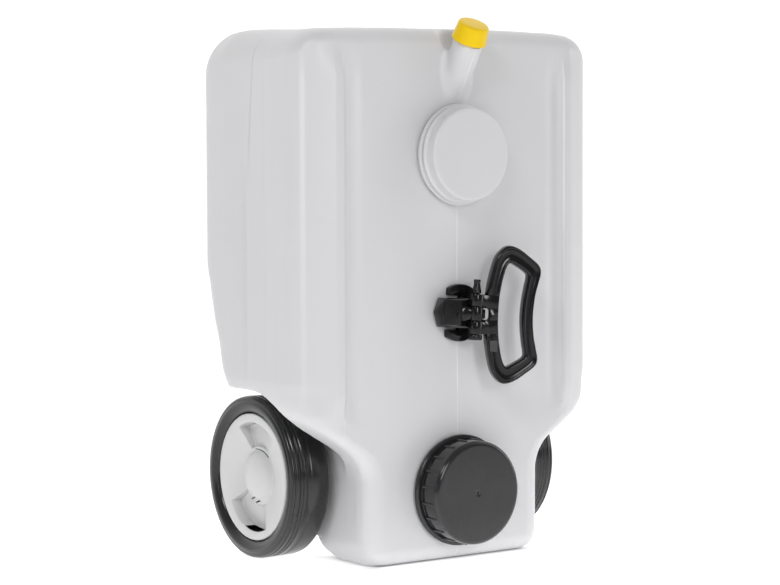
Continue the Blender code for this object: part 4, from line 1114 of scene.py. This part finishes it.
for side, tag in ((-1, "left"), (1, "right")):
    body = f"wheel_{tag}"
    tyre = from_bmesh(f"tyre_body_{tag}", wheel_turned(TYRE_LINE, ROUND, side), TYRE, 60)
    cover = build_cover(side, 0.0 if side < 0 else 140.0)
    rim = build_rim(side)
    for piece, slot_name, node in ((tyre, "tyre", "tyre"), (cover, "cover", "hub_cover"), (rim, "rim", "rim")):
        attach(piece, body)
        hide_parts(f"{node}_{tag}")
    for name, mat in (("wheel_bush", BUSH), ("inner_washer", STEEL), ("outer_washer", STEEL), ("push_nut", STEEL)):
        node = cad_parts[f"{name}_{tag}"]
        node.data.materials.clear()
        node.data.materials.append(mat)
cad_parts["axle"].data.materials.clear()
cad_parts["axle"].data.materials.append(STEEL)


# ------------------------------------------------------------ floor, light and camera
def floor_material():
    m = Nodes("floor_white")
    m.link(m.mix(m.noise(3.0, 2.0, 0.5), (0.945, 0.945, 0.945), (0.955, 0.955, 0.955)), m.shader.inputs["Base Color"])
    m.set(Roughness=0.8)
    # painted light: the table glows, brightest in a pool round the object and fading further off and far in front,
    # with no glow right under the object so the contact shade shows
    split = m.add("ShaderNodeSeparateXYZ")
    m.link(m.coords(), split.inputs[0])
    wide = m.maths("SUBTRACT", m.maths("ABSOLUTE", split.outputs["X"]), 0.079)
    deep = m.maths("SUBTRACT", m.maths("ABSOLUTE", m.maths("SUBTRACT", split.outputs["Y"], -0.0350)), 0.028)
    beside = m.maths("MAXIMUM", wide, deep)
    ahead = m.maths("SUBTRACT", -0.0640, split.outputs["Y"])
    near = m.maths("MAXIMUM", m.remap(beside, -0.002, 0.040, 0.0, 0.95), m.remap(ahead, 0.0, 0.018, 0.0, 0.95))
    # the pool of painted glow is brightest beside the object and dims further away
    painted_glow = m.maths("MINIMUM", near, m.remap(beside, 0.05, 0.30, 0.95, 0.34))
    painted_glow = m.maths("MULTIPLY", painted_glow, m.remap(split.outputs["Y"], -0.80, -0.50, 0.0, 1.0))
    m.link(painted_glow, m.shader.inputs["Emission Strength"])
    m.shader.inputs["Emission Color"].default_value = (1.0, 1.0, 1.0, 1.0)
    return m.mat


bm = bmesh.new()
bmesh.ops.create_grid(bm, x_segments=2, y_segments=2, size=8.0)
bmesh.ops.translate(bm, verts=bm.verts, vec=(0, 0, -0.0002))
floor = from_bmesh("floor", bm, floor_material(), 0)

world = bpy.data.worlds.new("studio")
bpy.context.scene.world = world
world.use_nodes = True
# a white backdrop behind the object and a dimmer studio on the camera's side
tree = world.node_tree
where_to = tree.nodes.new("ShaderNodeTexCoord")
toward = tree.nodes.new("ShaderNodeVectorMath")
toward.operation = "DOT_PRODUCT"
toward.inputs[1].default_value = (math.sin(math.radians(35.1)), math.cos(math.radians(35.1)), 0.0)
fade = tree.nodes.new("ShaderNodeMapRange")
fade.interpolation_type = "SMOOTHSTEP"
for key, number in (("From Min", -0.30), ("From Max", 0.45), ("To Min", 0.21), ("To Max", 1.16)):
    fade.inputs[key].default_value = number
tree.links.new(where_to.outputs["Generated"], toward.inputs[0])
tree.links.new(toward.outputs["Value"], fade.inputs["Value"])
height = tree.nodes.new("ShaderNodeSeparateXYZ")
overhead = tree.nodes.new("ShaderNodeMapRange")
overhead.interpolation_type = "SMOOTHSTEP"
for key, number in (("From Min", 0.10), ("From Max", 0.85), ("To Min", 1.0), ("To Max", 1.25)):
    overhead.inputs[key].default_value = number
both = tree.nodes.new("ShaderNodeMath")
both.operation = "MULTIPLY"
tree.links.new(where_to.outputs["Generated"], height.inputs[0])
tree.links.new(height.outputs["Z"], overhead.inputs["Value"])
tree.links.new(fade.outputs["Result"], both.inputs[0])
tree.links.new(overhead.outputs["Result"], both.inputs[1])
tree.links.new(both.outputs[0], tree.nodes["Background"].inputs["Strength"])
tree.nodes["Background"].inputs["Color"].default_value = (1.0, 1.0, 1.0, 1.0)


def area(name, at, aim, size, power, colour=(1, 1, 1)):
    light = bpy.data.lights.new(name, "AREA")
    light.shape = "RECTANGLE"
    light.size, light.size_y = size
    light.energy = power
    light.color = colour
    obj = bpy.data.objects.new(name, light)
    bpy.context.scene.collection.objects.link(obj)
    obj.location = at
    obj.rotation_euler = (Vector(aim) - Vector(at)).to_track_quat("-Z", "Y").to_euler()
    return obj


area("key", (-0.42, -2.28, 0.85), (0, -0.05, 0.20), (0.36, 0.80), 10.5)
area("softbox", (-1.36, -1.05, 1.45), (0, 0, 0.22), (0.52, 0.52), 9)
area("left", (-2.05, -0.55, 0.33), (-0.1, -0.05, 0.30), (0.10, 0.60), 1.2, (1.0, 0.985, 0.98))
area("right", (1.9, -0.9, 0.35), (0, 0, 0.2), (0.35, 0.9), 3.2)
bpy.context.scene.view_settings.view_transform = "Standard"

cam = bpy.data.cameras.new("camera")
camera = bpy.data.objects.new("camera", cam)
bpy.context.scene.collection.objects.link(camera)
cam.sensor_fit, cam.sensor_width = "HORIZONTAL", 36.0
cam.lens = 2104.05 / 780 * 36
cam.clip_start, cam.clip_end = 0.05, 50
a, e, roll = math.radians(35.117), math.radians(2.946), math.radians(-0.238)
ahead = Vector((math.sin(a) * math.cos(e), math.cos(a) * math.cos(e), -math.sin(e)))
right = Vector((math.cos(a), -math.sin(a), 0))
up = right.cross(ahead)
right, up = right * math.cos(roll) + up * math.sin(roll), -right * math.sin(roll) + up * math.cos(roll)
where = (-1.15379, -1.60959, 0.34424)
camera.matrix_world = Matrix(((right.x, up.x, -ahead.x, where[0]), (right.y, up.y, -ahead.y, where[1]),
                              (right.z, up.z, -ahead.z, where[2]), (0, 0, 0, 1)))
bpy.context.scene.camera = camera
